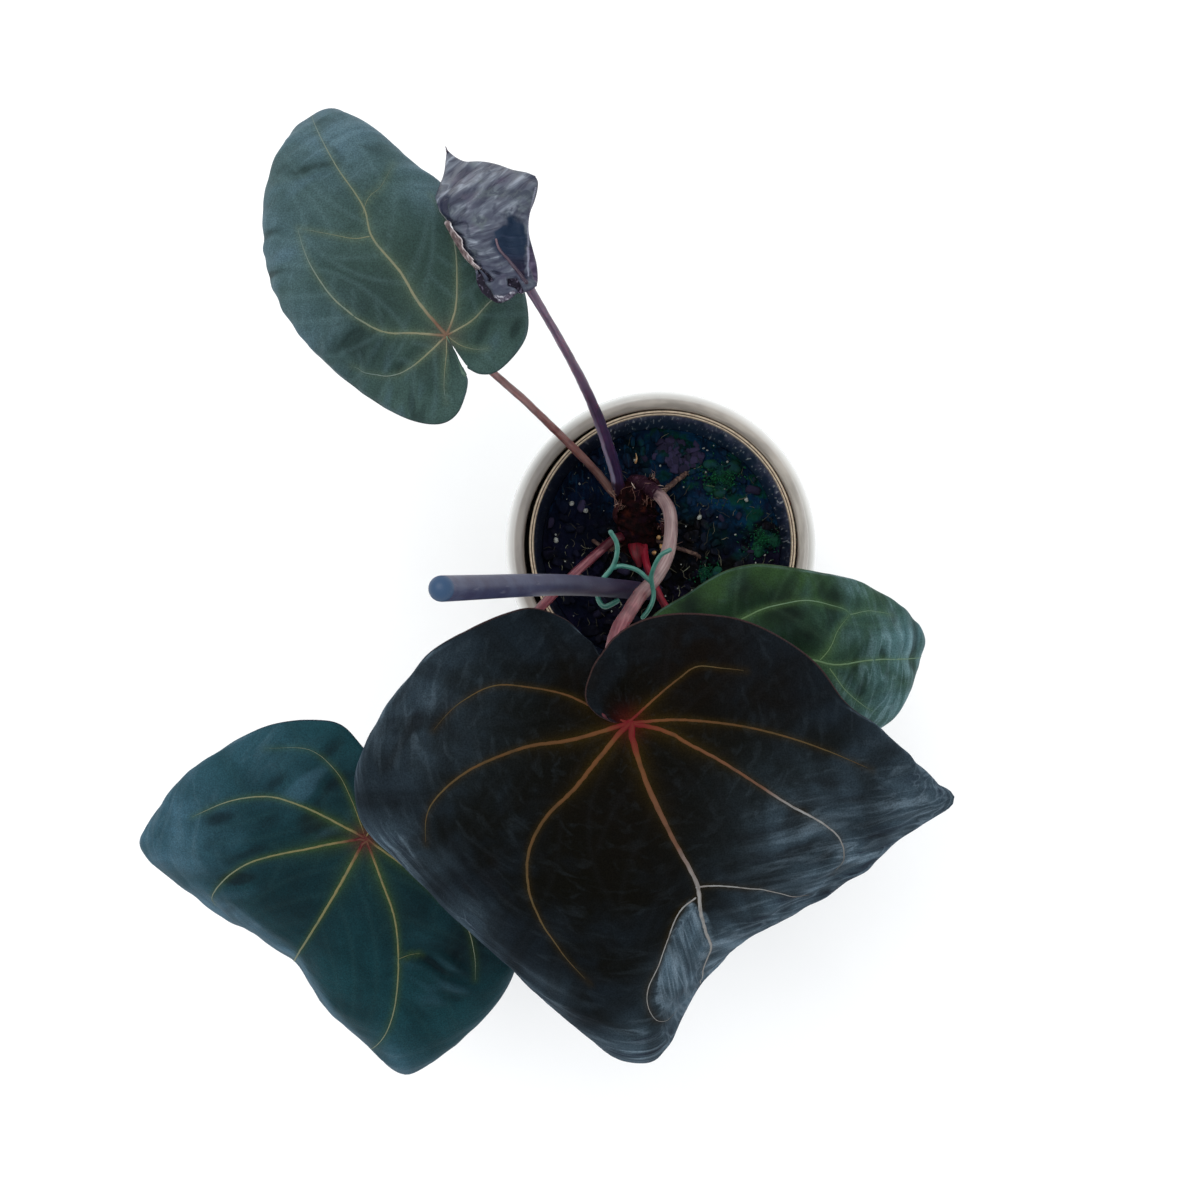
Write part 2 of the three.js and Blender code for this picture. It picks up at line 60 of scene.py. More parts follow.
# Each leaf's path is the centre line of its petiole, from the crown to the joint; petiole is its radius and
# thin how much of that is left at the joint. Outline rows run anticlockwise from one side of the sinus to
# the other: how far the edge lies to the right of the joint, how far beyond it, and how far the margin hangs
# below it. Each vein is its width at its foot, how pale it is, and its azimuth in degrees and share of the
# way from joint to margin. Places of folds, shade and sky are counted from the joint too: folds have a
# radius, direction, spacing and height, shade and sky a radius and a strength. Shade spots are painted shade
# in dips and beside other leaves, and on the centre leaf also its own darker brown top; sky spots and
# patches are painted sheen where the velvet turns towards the bright surroundings. Patches of sky have
# corners. A fan is the middle and half width of its azimuths and its first share; a slant an angle and some
# places.
LEAVES = {
    "upper_left": {
        "joint": (-85, 75, 235), "spokes": 300, "rings": 56, "petiole": 1.9, "thin": 0.8,
        "path": [(-14, 20, 108), (-21.6, 25.4, 112.5), (-28.9, 33.3, 122), (-36.6, 39.9, 141),
                 (-43.9, 45.6, 160), (-50.8, 50.8, 178), (-58.8, 57.1, 194), (-66.5, 62.6, 207),
                 (-75.5, 69.2, 221), (-85.1, 75.1, 231.8)],
        "outline": [(8, -12, 0), (12, -14, 2), (18, -13, 4), (29, 0, 8), (30, 12, 10), (25, 28, 14),
                    (8, 50, 18), (-16, 70, 22), (-38, 88, 28), (-52, 92, 34), (-63, 81, 28),
                    (-70, 63, 24), (-71, 32, 20), (-60, 6, 16), (-36, -18, 12), (-13, -31, 8),
                    (-2, -32, 6), (4, -28, 4), (8, -16, 1), (6, -12, 0)],
        "veins": [(1.5, 0, [(130, 0), (130, .12), (126, .2), (127, .32), (123, .38), (123, .53),
                            (122, .72), (121, .95)]),
                  (1.2, 0, [(178, 0), (176, .15), (176, .32), (163, .45), (156, .5), (151, .54),
                            (146, .575), (143.9, .59)]),
                  (1.0, 0, [(224, 0), (224, .22), (221, .42), (215, .58), (206, .68), (196, .75)]),
                  (1.1, 0, [(71, 0), (71, .17), (80, .33), (85.3, .48), (91, .59), (97, .66)]),
                  (1.0, 0, [(31, 0), (31, .27), (39, .47), (41, .67), (52, .8)]),
                  (0.6, 0, [(274, 0), (270, .17), (267, .35), (267, .55), (269, .74)]),
                  (0.45, 0, [(-34, 0), (-34, .25), (-24, .45), (-16, .58)]),
                  (0.55, 0, [(128, .325), (133.2, .36), (138.8, .446), (143.9, .59)]),
                  (0.35, 0, [(124.3, .375), (115.6, .43), (107.2, .66)])],
        "relief": {"puff": 0.9, "puff_width": 7, "quilt": 0.55, "quilt_width": 3.6, "wrinkle": 0.45,
                   "step": 12},
        "folds": [(-30, -5, 18, 58, 4.4, 3.2), (-60, 62, 17, 30, 5, 1.3), (-14, -25, 12, 75, 4.5, 1.2),
                  (-40, 78, 14, -25, 5, 1.2), (18, 2, 12, 70, 5, 1.0), (-66, 30, 14, 15, 5, 1.0)],
        "shade": [(-28, 12, 15, 0.5), (-32, -4, 14, 0.6), (-8, -12, 10, 0.4), (-12, 30, 12, 0.3)],
        "sky": [(-74, 40, 26, 0.6), (-48, 86, 30, 0.8), (-54, 4, 18, 0.5), (-8, 58, 13, 0.5),
                (-14, 66, 10, 0.5)],
    },
    "new": {
        "joint": (-54, 90, 262), "petiole": 2.8, "thin": 0.56,
        "path": [(-13, 19, 110), (-18, 25, 114), (-20.6, 34.1, 126), (-23.6, 41.9, 142), (-27.5, 51, 164),
                 (-32, 59.5, 184), (-36.8, 67, 203), (-44.4, 77.5, 229), (-50.4, 85.4, 247),
                 (-53.6, 89.4, 257.6)],
    },
    "centre": {
        "joint": (-17.4, -68.2, 262), "spokes": 460, "rings": 80, "petiole": 3.1, "thin": 1.0,
        "path": [(-12, 25, 110.5), (-12, 30, 113), (-6, 27.5, 117), (-1, 23, 122), (3, 17, 127),
                 (4, 10.5, 132), (3.5, 2.5, 139), (1, -6.5, 148), (-2.5, -13, 156), (-7, -18.5, 163.5),
                 (-11, -22.5, 170.5), (-15, -28.5, 180), (-18.5, -33.5, 190), (-21, -38.5, 202),
                 (-23, -47, 222), (-21, -58, 241), (-17.6, -67.6, 257.6)],
        "outline": [(-10.5, 21, 1), (-17, 32, 0), (-22, 37, 0), (-34, 41, 2), (-44, 39, 4), (-58, 33, 8),
                    (-73, 24, 14), (-85, 8, 20), (-94, -7, 26), (-100, -22, 32), (-98, -40, 40),
                    (-76, -64, 50), (-43, -97, 58), (-13, -125, 66), (-1, -133, 70), (10, -135, 74),
                    (16, -130, 80), (21, -120, 88), (32, -104, 100), (44, -91, 92), (60, -80, 76),
                    (84, -63, 54), (102, -45, 42), (114.5, -35, 32), (120.5, -30, 30), (114, -25, 27),
                    (94, -4, 16), (81, 5, 12), (68, 21, 6), (54, 31, 3), (40, 37, 0), (25, 39, -3),
                    (12, 38.6, -5), (3, 36, -6.5), (-4, 31.5, -7), (-10, 24.3, -7), (-13.6, 18.2, -6.5),
                    (-15.4, 11.8, -5.5), (-14.3, 6.4, -4.5), (-11, 2.9, -3), (-5.7, 0.4, -1.5)],
        "veins": [(2.6, 1, [(287, 0), (287, .13), (291, .27), (293, .42), (291, .48), (290.3, .55),
                            (289.9, .625), (287.4, .67), (285.5, .76), (285, .97)]),
                  (2.2, 0, [(227, 0), (230, .12), (230.7, .21), (229, .31), (232.4, .4), (239, .475),
                            (246.7, .525), (254, .55), (262, .567)]),
                  (1.9, 0, [(197, 0), (196, .15), (193, .25), (194.5, .325), (196.7, .4), (200.3, .475),
                            (204.1, .537), (211.7, .625)]),
                  (1.3, 0, [(154, 0), (155, .17), (155.5, .288), (160, .4), (164.6, .5), (172.9, .537),
                            (182.5, .555)]),
                  (1.3, 0, [(403, 0), (403, .08), (402.8, .213), (401.5, .375), (399.5, .5),
                            (390.4, .565), (383.7, .638)]),
                  (1.5, 0, [(365, 0), (364, .18), (359, .33), (355, .43), (352, .5), (348.9, .59)]),
                  (1.9, 1, [(349, 0), (349, .08), (341.4, .14), (338, .22), (335.3, .3), (332.8, .43),
                            (332.6, .5), (331.2, .588), (327, .67), (323, .69)]),
                  (0.9, 2, [(292.5, .42), (301, .48), (308, .55), (313.5, .66), (316, .72)]),
                  (0.9, 2, [(291, .44), (284.9, .43), (279.1, .463), (275.5, .488), (274, .53),
                            (275.5, .6), (280, .7)])],
        "relief": {"puff": 1.4, "puff_width": 9, "quilt": 0.3, "quilt_width": 6, "wrinkle": 1.0,
                   "step": 17}, "fan": (284, 9, 0.43),
        "slant": (11, [(84, -40, 34), (62, -56, 30), (46, -72, 18), (40, -90, 14)]),
        "folds": [(72, -46, 30, 11, 5, 1.5), (-62, -66, 22, -48, 6, 1.3), (-80, 2, 20, 60, 7, 1.2)],
        "shade": [(24, 22, 26, 0.9), (-14, 14, 14, 0.7), (52, 12, 18, 0.6), (0, -30, 34, 0.5)],
        "patches": [(1.0, 1.3, [(23, -66), (16, -77), (12, -91), (10, -103), (18, -113), (25, -109),
                                (31, -96), (33, -84), (29, -72)])],
        "sky": [(-76, 4, 30, 0.22), (108, -36, 26, 0.5), (84, -60, 20, 0.85), (58, -80, 17, 0.9),
                (27, -102, 15, 1.0), (40, -88, 12, 0.9), (6, -128, 16, 0.6), (-88, -50, 14, 0.5),
                (-60, -78, 10, 0.4), (-30, -106, 10, 0.3), (66, -44, 30, 0.34), (92, -18, 20, 0.2)],
    },
    "right": {
        "joint": (12.2, -43.6, 192), "spokes": 300, "rings": 56, "petiole": 1.6, "thin": 1.0,
        "path": [(-8, 6, 108), (-7.5, 2, 112), (-7, -2.5, 115), (-6, -9.5, 122), (-3, -17.5, 133),
                 (0, -25, 144), (6.5, -36, 167), (12.2, -43.4, 189)],
        "outline": [(-12, -3.5, 1), (-20, -12, 2), (-17, -23, 4), (-3, -37, 8), (18, -45, 12),
                    (39, -48, 16), (62, -42, 18), (79, -30, 20), (89, -17, 24), (96, 1, 30), (86, 15, 22),
                    (77, 22, 18), (63, 28, 14), (49, 31, 12), (38, 33, 10), (23, 34, 8), (11, 31, 6),
                    (-4, 22, 4), (-18, 13, 3), (-21, 7, 2), (-19, 1, 2), (-12, -1, 1)],
        "veins": [(1.4, 0, [(-7, 0), (-7, .17), (-6, .35), (-7, .43), (-4, .55), (-3, .78), (-2, .98)]),
                  (1.1, 0, [(37, 0), (36, .15), (33, .32), (29, .48), (22, .57), (15.5, .575),
                            (12.3, .56)]),
                  (1.1, 0, [(-45, 0), (-45, .2), (-37, .43), (-32, .65), (-24, .8)]),
                  (0.6, 0, [(104, 0), (104, .25), (99, .4)]),
                  (0.8, 0, [(-112, 0), (-112, .3), (-98, .55), (-82, .75)]),
                  (0.6, 0, [(-9, .42), (-15.9, .518), (-19.2, .643), (-20, .72)]),
                  (0.6, 0, [(-5.5, .375), (1.3, .4), (7, .45), (12.3, .555)]),
                  (0.4, 0, [(12.3, .56), (12, .65), (9.5, .74)])],
        "relief": {"puff": 1.3, "puff_width": 6, "quilt": 0.6, "quilt_width": 4.5, "wrinkle": 0.6,
                   "step": 15},
        "folds": [(80, 0, 18, 88, 4.6, 2.0), (72, -20, 14, 70, 4.6, 1.6), (30, 18, 20, 50, 9, 2.2),
                  (56, 20, 12, 80, 6, 1.4)],
        "shade": [(-3, 17, 8, 0.85), (19, 23.5, 7, 0.8), (37, 13.5, 8, 1.0), (42, 5, 7, 0.95),
                  (57, 22, 6, 0.6)],
        "sky": [(88, 2, 20, 0.95), (74, -24, 20, 0.8), (66, 10, 16, 0.35), (64, 24, 9, 0.5)],
    },
    "lower_left": {
        "joint": (-120, -118.3, 205), "spokes": 320, "rings": 60, "petiole": 2.1, "thin": 1.0,
        "path": [(-12, 6, 107), (-18, 4.5, 114), (-21.5, 3, 117), (-30, -4.5, 127), (-36.5, -10.5, 136),
                 (-45, -19, 147), (-52, -26.5, 157), (-69, -47, 177), (-88, -72, 191.4), (-107, -99, 199),
                 (-119.6, -117.8, 201.8)],
        "outline": [(8, 16, 0), (10, 25, 1), (0, 34, 2), (-10, 44, 4), (-20, 46, 6), (-39, 44, 10),
                    (-53, 38, 14), (-67, 29, 18), (-80, 17, 24), (-91, 3, 32), (-97, -7, 40),
                    (-86, -23, 66), (-67, -40, 90), (-54, -48, 96), (-39, -58, 90), (-21, -78, 66),
                    (-9, -88, 56), (12, -102, 44), (24, -96, 40), (46, -75, 30), (57, -55, 24),
                    (57, -40, 18), (52, -23, 12), (42, -6, 8), (29, 8, 4), (19, 17, 2), (12, 14, 0)],
        "veins": [(1.6, 0, [(241, 0), (241, .23), (239, .52), (238, .75), (238, .97)]),
                  (1.3, 0, [(190, 0), (190, .15), (193, .37), (202.5, .6), (206, .66)]),
                  (1.2, 0, [(153, 0), (152, .2), (154, .33), (157, .42), (164.1, .5), (171.2, .567),
                            (174, .6)]),
                  (0.5, 0, [(105, 0), (109.8, .267), (114.7, .517), (123.7, .7), (139.9, .767)]),
                  (1.2, 0, [(291, 0), (291, .15), (290, .25), (285.1, .35), (280.2, .45), (276, .54),
                            (270, .72), (267, .9)]),
                  (1.1, 0, [(324, 0), (323.8, .233), (320.5, .383), (319.2, .483), (312.1, .567),
                            (306.3, .633)]), (0.8, 0, [(20, 0), (20, .3), (8, .55), (-8, .75)]),
                  (0.3, 0, [(285, .352), (290, .366), (295, .39)])],
        "relief": {"puff": 1.2, "puff_width": 9, "quilt": 0.4, "quilt_width": 5, "wrinkle": 0.7,
                   "step": 15},
        "folds": [(27, -55, 14, -27, 5, 4.6), (-20, 20, 20, 35, 7, 1.2), (-60, -10, 22, 20, 7, 1.2),
                  (-14, 4, 9, 20, 5, 1.6)],
        "shade": [(40, -44, 17, 0.8), (20, -30, 12, 0.5), (-14, 1, 7, 0.7), (-30, -24, 18, 0.5),
                  (-6, 24, 12, 0.4)],
        "sky": [(-86, 6, 27, 0.9), (-44, 36, 22, 0.35), (8, -98, 13, 0.5), (50, -30, 14, 0.2)],
        "patches": [(0.9, 3.0, [(-90, -22), (-68, -26), (-52, -31), (-36, -46), (-22, -62), (-12, -76),
                                (0, -92), (-10, -104), (-30, -86), (-50, -66), (-66, -50), (-86, -34)])],
    },
}


def smoothstep(x, low, high):
    t = np.clip((x - low) / (high - low), 0, 1)
    return t * t * (3 - 2 * t)


def bell(far, width):
    return np.exp(-((far / width) ** 2))


def unit(vectors):
    return vectors / np.maximum(np.linalg.norm(vectors, axis=-1, keepdims=True), 1e-9)


def smooth_line(points, per_span=16):
    """Dense points on the centripetal Catmull-Rom curve through the given ones."""
    p = np.asarray(points, float)
    p = np.vstack([2 * p[0] - p[1], p, 2 * p[-1] - p[-2]])
    u = np.linspace(0, 1, per_span, endpoint=False)[:, None]
    line = []
    for a, b, c, d in zip(p, p[1:], p[2:], p[3:]):
        t1 = np.linalg.norm(b - a) ** 0.5
        t2 = t1 + np.linalg.norm(c - b) ** 0.5
        t3 = t2 + np.linalg.norm(d - c) ** 0.5
        t = t1 + (t2 - t1) * u
        ab = a + (b - a) * t / t1
        bc = b + (c - b) * (t - t1) / (t2 - t1)
        cd = c + (d - c) * (t - t2) / (t3 - t2)
        abc = ab + (bc - ab) * t / t2
        bcd = bc + (cd - bc) * (t - t1) / (t3 - t1)
        line.append(abc + (bcd - abc) * (t - t1) / (t2 - t1))
    return np.vstack([*line, p[-2:-1]])


def distances(points):
    """How far each point lies along the line through them."""
    return np.r_[0, np.cumsum(np.linalg.norm(np.diff(points, axis=0), axis=1))]


def along_line(points, at):
    """Places at some distances along a line."""
    travelled = distances(points)
    return np.stack([np.interp(at, travelled, column) for column in points.T], axis=-1)


def spaced(points, count):
    """count + 1 points, evenly spaced along the smooth curve through the given ones."""
    dense = smooth_line(points)
    return along_line(dense, np.linspace(0, distances(dense)[-1], count + 1))


def inside(x, y, corners, soft):
    """1 within an outline seen from above and 0 outside it, with a soft edge."""
    place = np.stack([x, y], axis=-1)
    corners = np.asarray(corners, float)
    gap = np.full(x.shape, np.inf)
    crossed = np.zeros(x.shape, bool)
    for a, b in zip(corners, np.roll(corners, -1, axis=0)):
        edge = b - a
        along = np.clip((place - a) @ edge / (edge @ edge), 0, 1)
        gap = np.minimum(gap, np.linalg.norm(place - a - along[..., None] * edge, axis=-1))
        level = edge[1] if abs(edge[1]) > 1e-9 else 1e-9
        crossed ^= ((a[1] > y) != (b[1] > y)) & (x < a[0] + edge[0] * (y - a[1]) / level)
    return smoothstep(np.where(crossed, gap, -gap), -soft, soft)


def point_tree(points):
    tree = KDTree(len(points))
    for i, point in enumerate(points):
        tree.insert(point, i)
    tree.balance()
    return tree


def ripple(*place):
    return noise.noise(Vector(place))


class Shape:
    """Closed parts, added one by one: points in millimetres, faces and named values at the points."""

    def __init__(self, *part, **values):
        self.points = []
        self.faces = []
        self.values = {}
        self.count = 0
        if part:
            self.add(*part, **values)

    def add(self, points, faces, **values):
        self.points.append(np.asarray(points, float))
        self.faces.extend(tuple(int(i) + self.count for i in face) for face in faces)
        for name, value in values.items():
            wanted = (len(points), *np.shape(value)[1:])
            self.values.setdefault(name, []).append(np.broadcast_to(value, wanted))
        self.count += len(points)

    def tube(self, path, radii, sides=14, ups=None, ends=4, section=None, keep=(), **values):
        """Adds a tube, with some of the values that come with it."""
        points, faces, found = tube(path, radii, sides, ups, ends, section)
        self.add(points, faces, **{name: found[name] for name in keep}, **values)


def raw_piece(name, shape, scale=1.0):
    """A new object in the scene, with the points and faces of a shape."""
    mesh = bpy.data.meshes.new(name)
    mesh.from_pydata((np.vstack(shape.points) * scale).tolist(), [], shape.faces)
    piece = bpy.data.objects.new(name, mesh)
    bpy.context.scene.collection.objects.link(piece)
    return piece


def remove(piece):
    mesh = piece.data
    bpy.data.objects.remove(piece)
    bpy.data.meshes.remove(mesh)


def place(name, shape, finish, slot, *nodes):
    """Makes the mesh, gives it its finish and lets it ride on the one body."""
    piece = raw_piece(name, shape, MM)
    mesh = piece.data
    for key, parts in shape.values.items():
        data = np.concatenate(parts).astype(np.float32)
        kind, field = ("FLOAT", "value") if data.ndim == 1 else ("FLOAT_VECTOR", "vector")
        mesh.attributes.new(key, kind, "POINT").data.foreach_set(field, data.ravel())
    mesh.polygons.foreach_set("use_smooth", [True] * len(mesh.polygons))
    mesh.materials.append(finish)
    mesh.update()
    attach(piece, "root")
    if nodes:
        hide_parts(*nodes)


def lathe(profile, sides, x=0.0, y=0.0):
    """A closed turned body from rows of radius and height that start and end on the axis."""
    profile = np.asarray(profile, float)
    angle = np.linspace(0, 2 * math.pi, sides, endpoint=False)
    radius, height = profile[1:-1].T[:, :, None]
    rings = np.stack([x + radius * np.cos(angle), y + radius * np.sin(angle), height + 0 * angle], axis=-1)
    points = np.vstack([[[x, y, profile[0, 1]]], rings.reshape(-1, 3), [[x, y, profile[-1, 1]]]])
    return points, ring_faces(len(rings), sides)


def ring_faces(rings, sides):
    """Faces of a tube of rings between a first and a last pole point."""
    faces = []
    last = 1 + rings * sides
    for i in range(sides):
        j = (i + 1) % sides
        faces.append((0, 1 + j, 1 + i))
        faces.append((last, last - sides + i, last - sides + j))
        for k in range(rings - 1):
            a = 1 + k * sides
            faces.append((a + i, a + j, a + sides + j, a + sides + i))
    return faces


def tube(path, radii, sides=14, ups=None, ends=4, section=None):
    """A closed tube with rounded ends. radii is one number a point, or two: across and along ups.
    section scales the radius by the angle round the tube and the length along it."""
    path = np.asarray(path, float)
    count = len(path)
    radii = np.asarray(radii, float)
    if radii.ndim < 2:
        radii = np.repeat(radii[:, None], 2, axis=1)
    tangents = unit(np.gradient(path, axis=0))
    if ups is None:
        ups = np.zeros_like(path)
        up = np.array([0.31, 0.17, 1.0])
        for i, tangent in enumerate(tangents):
            up = unit(up - tangent * (up @ tangent))
            ups[i] = up
    across = unit(np.cross(ups, tangents))
    ups = np.cross(tangents, across)
    travelled = distances(path)
    turn = np.linspace(0, math.pi / 2, ends + 1)[1:-1]
    index = np.r_[0 * turn, np.arange(count), 0 * turn + count - 1].astype(int)
    push = np.r_[-np.sin(turn[::-1]), np.zeros(count), np.sin(turn)] * radii[index].min(axis=1)
    shrink = np.r_[np.cos(turn[::-1]), np.ones(count), np.cos(turn)][:, None]
    centres = path[index] + tangents[index] * push[:, None]
    theta = np.linspace(0, 2 * math.pi, sides, endpoint=False)
    length = travelled[index] + push
    scale = 1.0 if section is None else section(theta[None, :], length[:, None])
    wide = radii[index] * shrink
    x = wide[:, :1] * np.cos(theta) * scale
    y = wide[:, 1:] * np.sin(theta) * scale
    rings = centres[:, None] + across[index][:, None] * x[..., None] + ups[index][:, None] * y[..., None]
    foot = path[0] - tangents[0] * radii[0].min()
    end = path[-1] + tangents[-1] * radii[-1].min()
    points = np.vstack([foot[None], rings.reshape(-1, 3), end[None]])
    skin = np.stack([x, y, np.broadcast_to(length[:, None], x.shape)], axis=-1).reshape(-1, 3)
    skin = np.vstack([[[0, 0, length[0]]], skin, [[0, 0, length[-1]]]])
    along = np.clip(skin[:, 2] / travelled[-1], 0, 1)
    return points, ring_faces(len(index), sides), {"skin": skin, "along": along}


def wobble(seed, waves):
    """Repeatable unevenness round and along a tube. Each wave is its strength, its turns and its length."""
    draw = random.Random(seed)
    terms = [(size, turns, 2 * math.pi / length, draw.uniform(0, 6.28)) for size, turns, length in waves]

    def scale(angle, length):
        return 1 + sum(size * np.sin(turns * angle + rate * length + start)
                       for size, turns, rate, start in terms)

    return scale


class Finish:
    """A node material in millimetres, built up by short calls."""

    def __init__(self, name, rough, specular, **settings):
        self.material = bpy.data.materials.new(name)
        self.material.use_nodes = True
        self.tree = self.material.node_tree
        self.shader = self.tree.nodes["Principled BSDF"]
        self.set(self.shader, {"Roughness": rough, "Specular_IOR_Level": specular, **settings})
        self.object_mm = self.scaled(self.node("ShaderNodeTexCoord").outputs["Object"], (1 / MM,) * 3)

    def set(self, node, sockets):
        for name, value in sockets.items():
            socket = node.inputs[name if isinstance(name, int) else name.replace("_", " ")]
            if isinstance(value, bpy.types.NodeSocket):
                self.tree.links.new(value, socket)
            elif socket.type == "RGBA":
                socket.default_value = colour(value)
            else:
                socket.default_value = value

    def node(self, kind, sockets=None, **settings):
        made = self.tree.nodes.new(kind)
        for name, value in settings.items():
            setattr(made, name, value)
        self.set(made, sockets or {})
        return made

    def scaled(self, vector, scale):
        return self.node("ShaderNodeVectorMath", {0: vector, 1: scale}, operation="MULTIPLY").outputs[0]

    def split(self, vector):
        return self.node("ShaderNodeSeparateXYZ", {0: vector}).outputs

    def value(self, name):
        return self.node("ShaderNodeAttribute", attribute_name=name).outputs["Fac"]

    def vector(self, name):
        return self.node("ShaderNodeAttribute", attribute_name=name).outputs["Vector"]

    def noise(self, size, detail=3, stretch=(1, 1, 1), source=None, warp=0.0):
        coordinates = self.scaled(source or self.object_mm, stretch)
        sockets = {"Vector": coordinates, "Scale": 1 / size, "Detail": detail, "Distortion": warp}
        return self.node("ShaderNodeTexNoise", sockets).outputs[0]

    def cells(self, size, feature="DISTANCE_TO_EDGE", stretch=(1, 1, 1), source=None):
        coordinates = self.scaled(source or self.object_mm, stretch)
        sockets = {"Vector": coordinates, "Scale": 1 / size}
        return self.node("ShaderNodeTexVoronoi", sockets, feature=feature).outputs["Distance"]

    def remap(self, source, low, high, to_low=0.0, to_high=1.0):
        sockets = {"Value": source, 1: low, 2: high, 3: to_low, 4: to_high}
        return self.node("ShaderNodeMapRange", sockets, interpolation_type="SMOOTHSTEP").outputs[0]

    def math(self, operation, a, b=0.0, c=0.0):
        return self.node("ShaderNodeMath", {0: a, 1: b, 2: c}, operation=operation).outputs[0]

    def times(self, a, b):
        return self.math("MULTIPLY", a, b)

    def plus(self, a, b):
        return self.math("ADD", a, b)

    def less(self, a, b):
        return self.math("SUBTRACT", a, b)

    def size(self, a):
        return self.math("ABSOLUTE", a)

    def between(self, share, a, b):
        return self.math("MULTIPLY_ADD", share, self.less(b, a), a)

    def rotated(self, vector, radians):
        return self.node("ShaderNodeMapping", {"Vector": vector, "Rotation": (0, 0, radians)}).outputs[0]

    def mix(self, share, a, b, blend="MIX"):
        made = self.node("ShaderNodeMix", data_type="RGBA", blend_type=blend)
        self.set(made, {0: share, 6: a, 7: b})
        return made.outputs[2]

    def over(self, base, shade, source, low, high, first=0.0, last=1.0):
        """Lays a shade over a colour, from a first to a last share as source goes from low to high."""
        return self.mix(self.remap(source, low, high, first, last), base, shade)

    def ramp(self, source, stops):
        made = self.node("ShaderNodeValToRGB", {"Fac": source})
        elements = made.color_ramp.elements
        for place, _ in stops[2:]:
            elements.new(place)
        for element, (place, shade) in zip(elements, stops):
            element.position = place
            element.color = colour(shade)
        return made.outputs[0]

    def bump(self, height, depth, under=None):
        sockets = {"Height": height, "Strength": 1.0, "Distance": depth * MM}
        if under:
            sockets["Normal"] = under
        return self.node("ShaderNodeBump", sockets).outputs[0]

    def done(self, base, normal=None, rough=None):
        linked = {"Base Color": base, "Normal": normal, "Roughness": rough}
        self.set(self.shader, {name: socket for name, socket in linked.items() if socket})
        return self.material


def colour(screen):
    """A screen colour, written 0xRRGGBB, as linear light."""
    parts = [(screen >> shift & 255) / 255 for shift in (16, 8, 0)]
    return (*(((c + 0.055) / 1.055) ** 2.4 if c > 0.04 else c / 12.92 for c in parts), 1)


# Blades

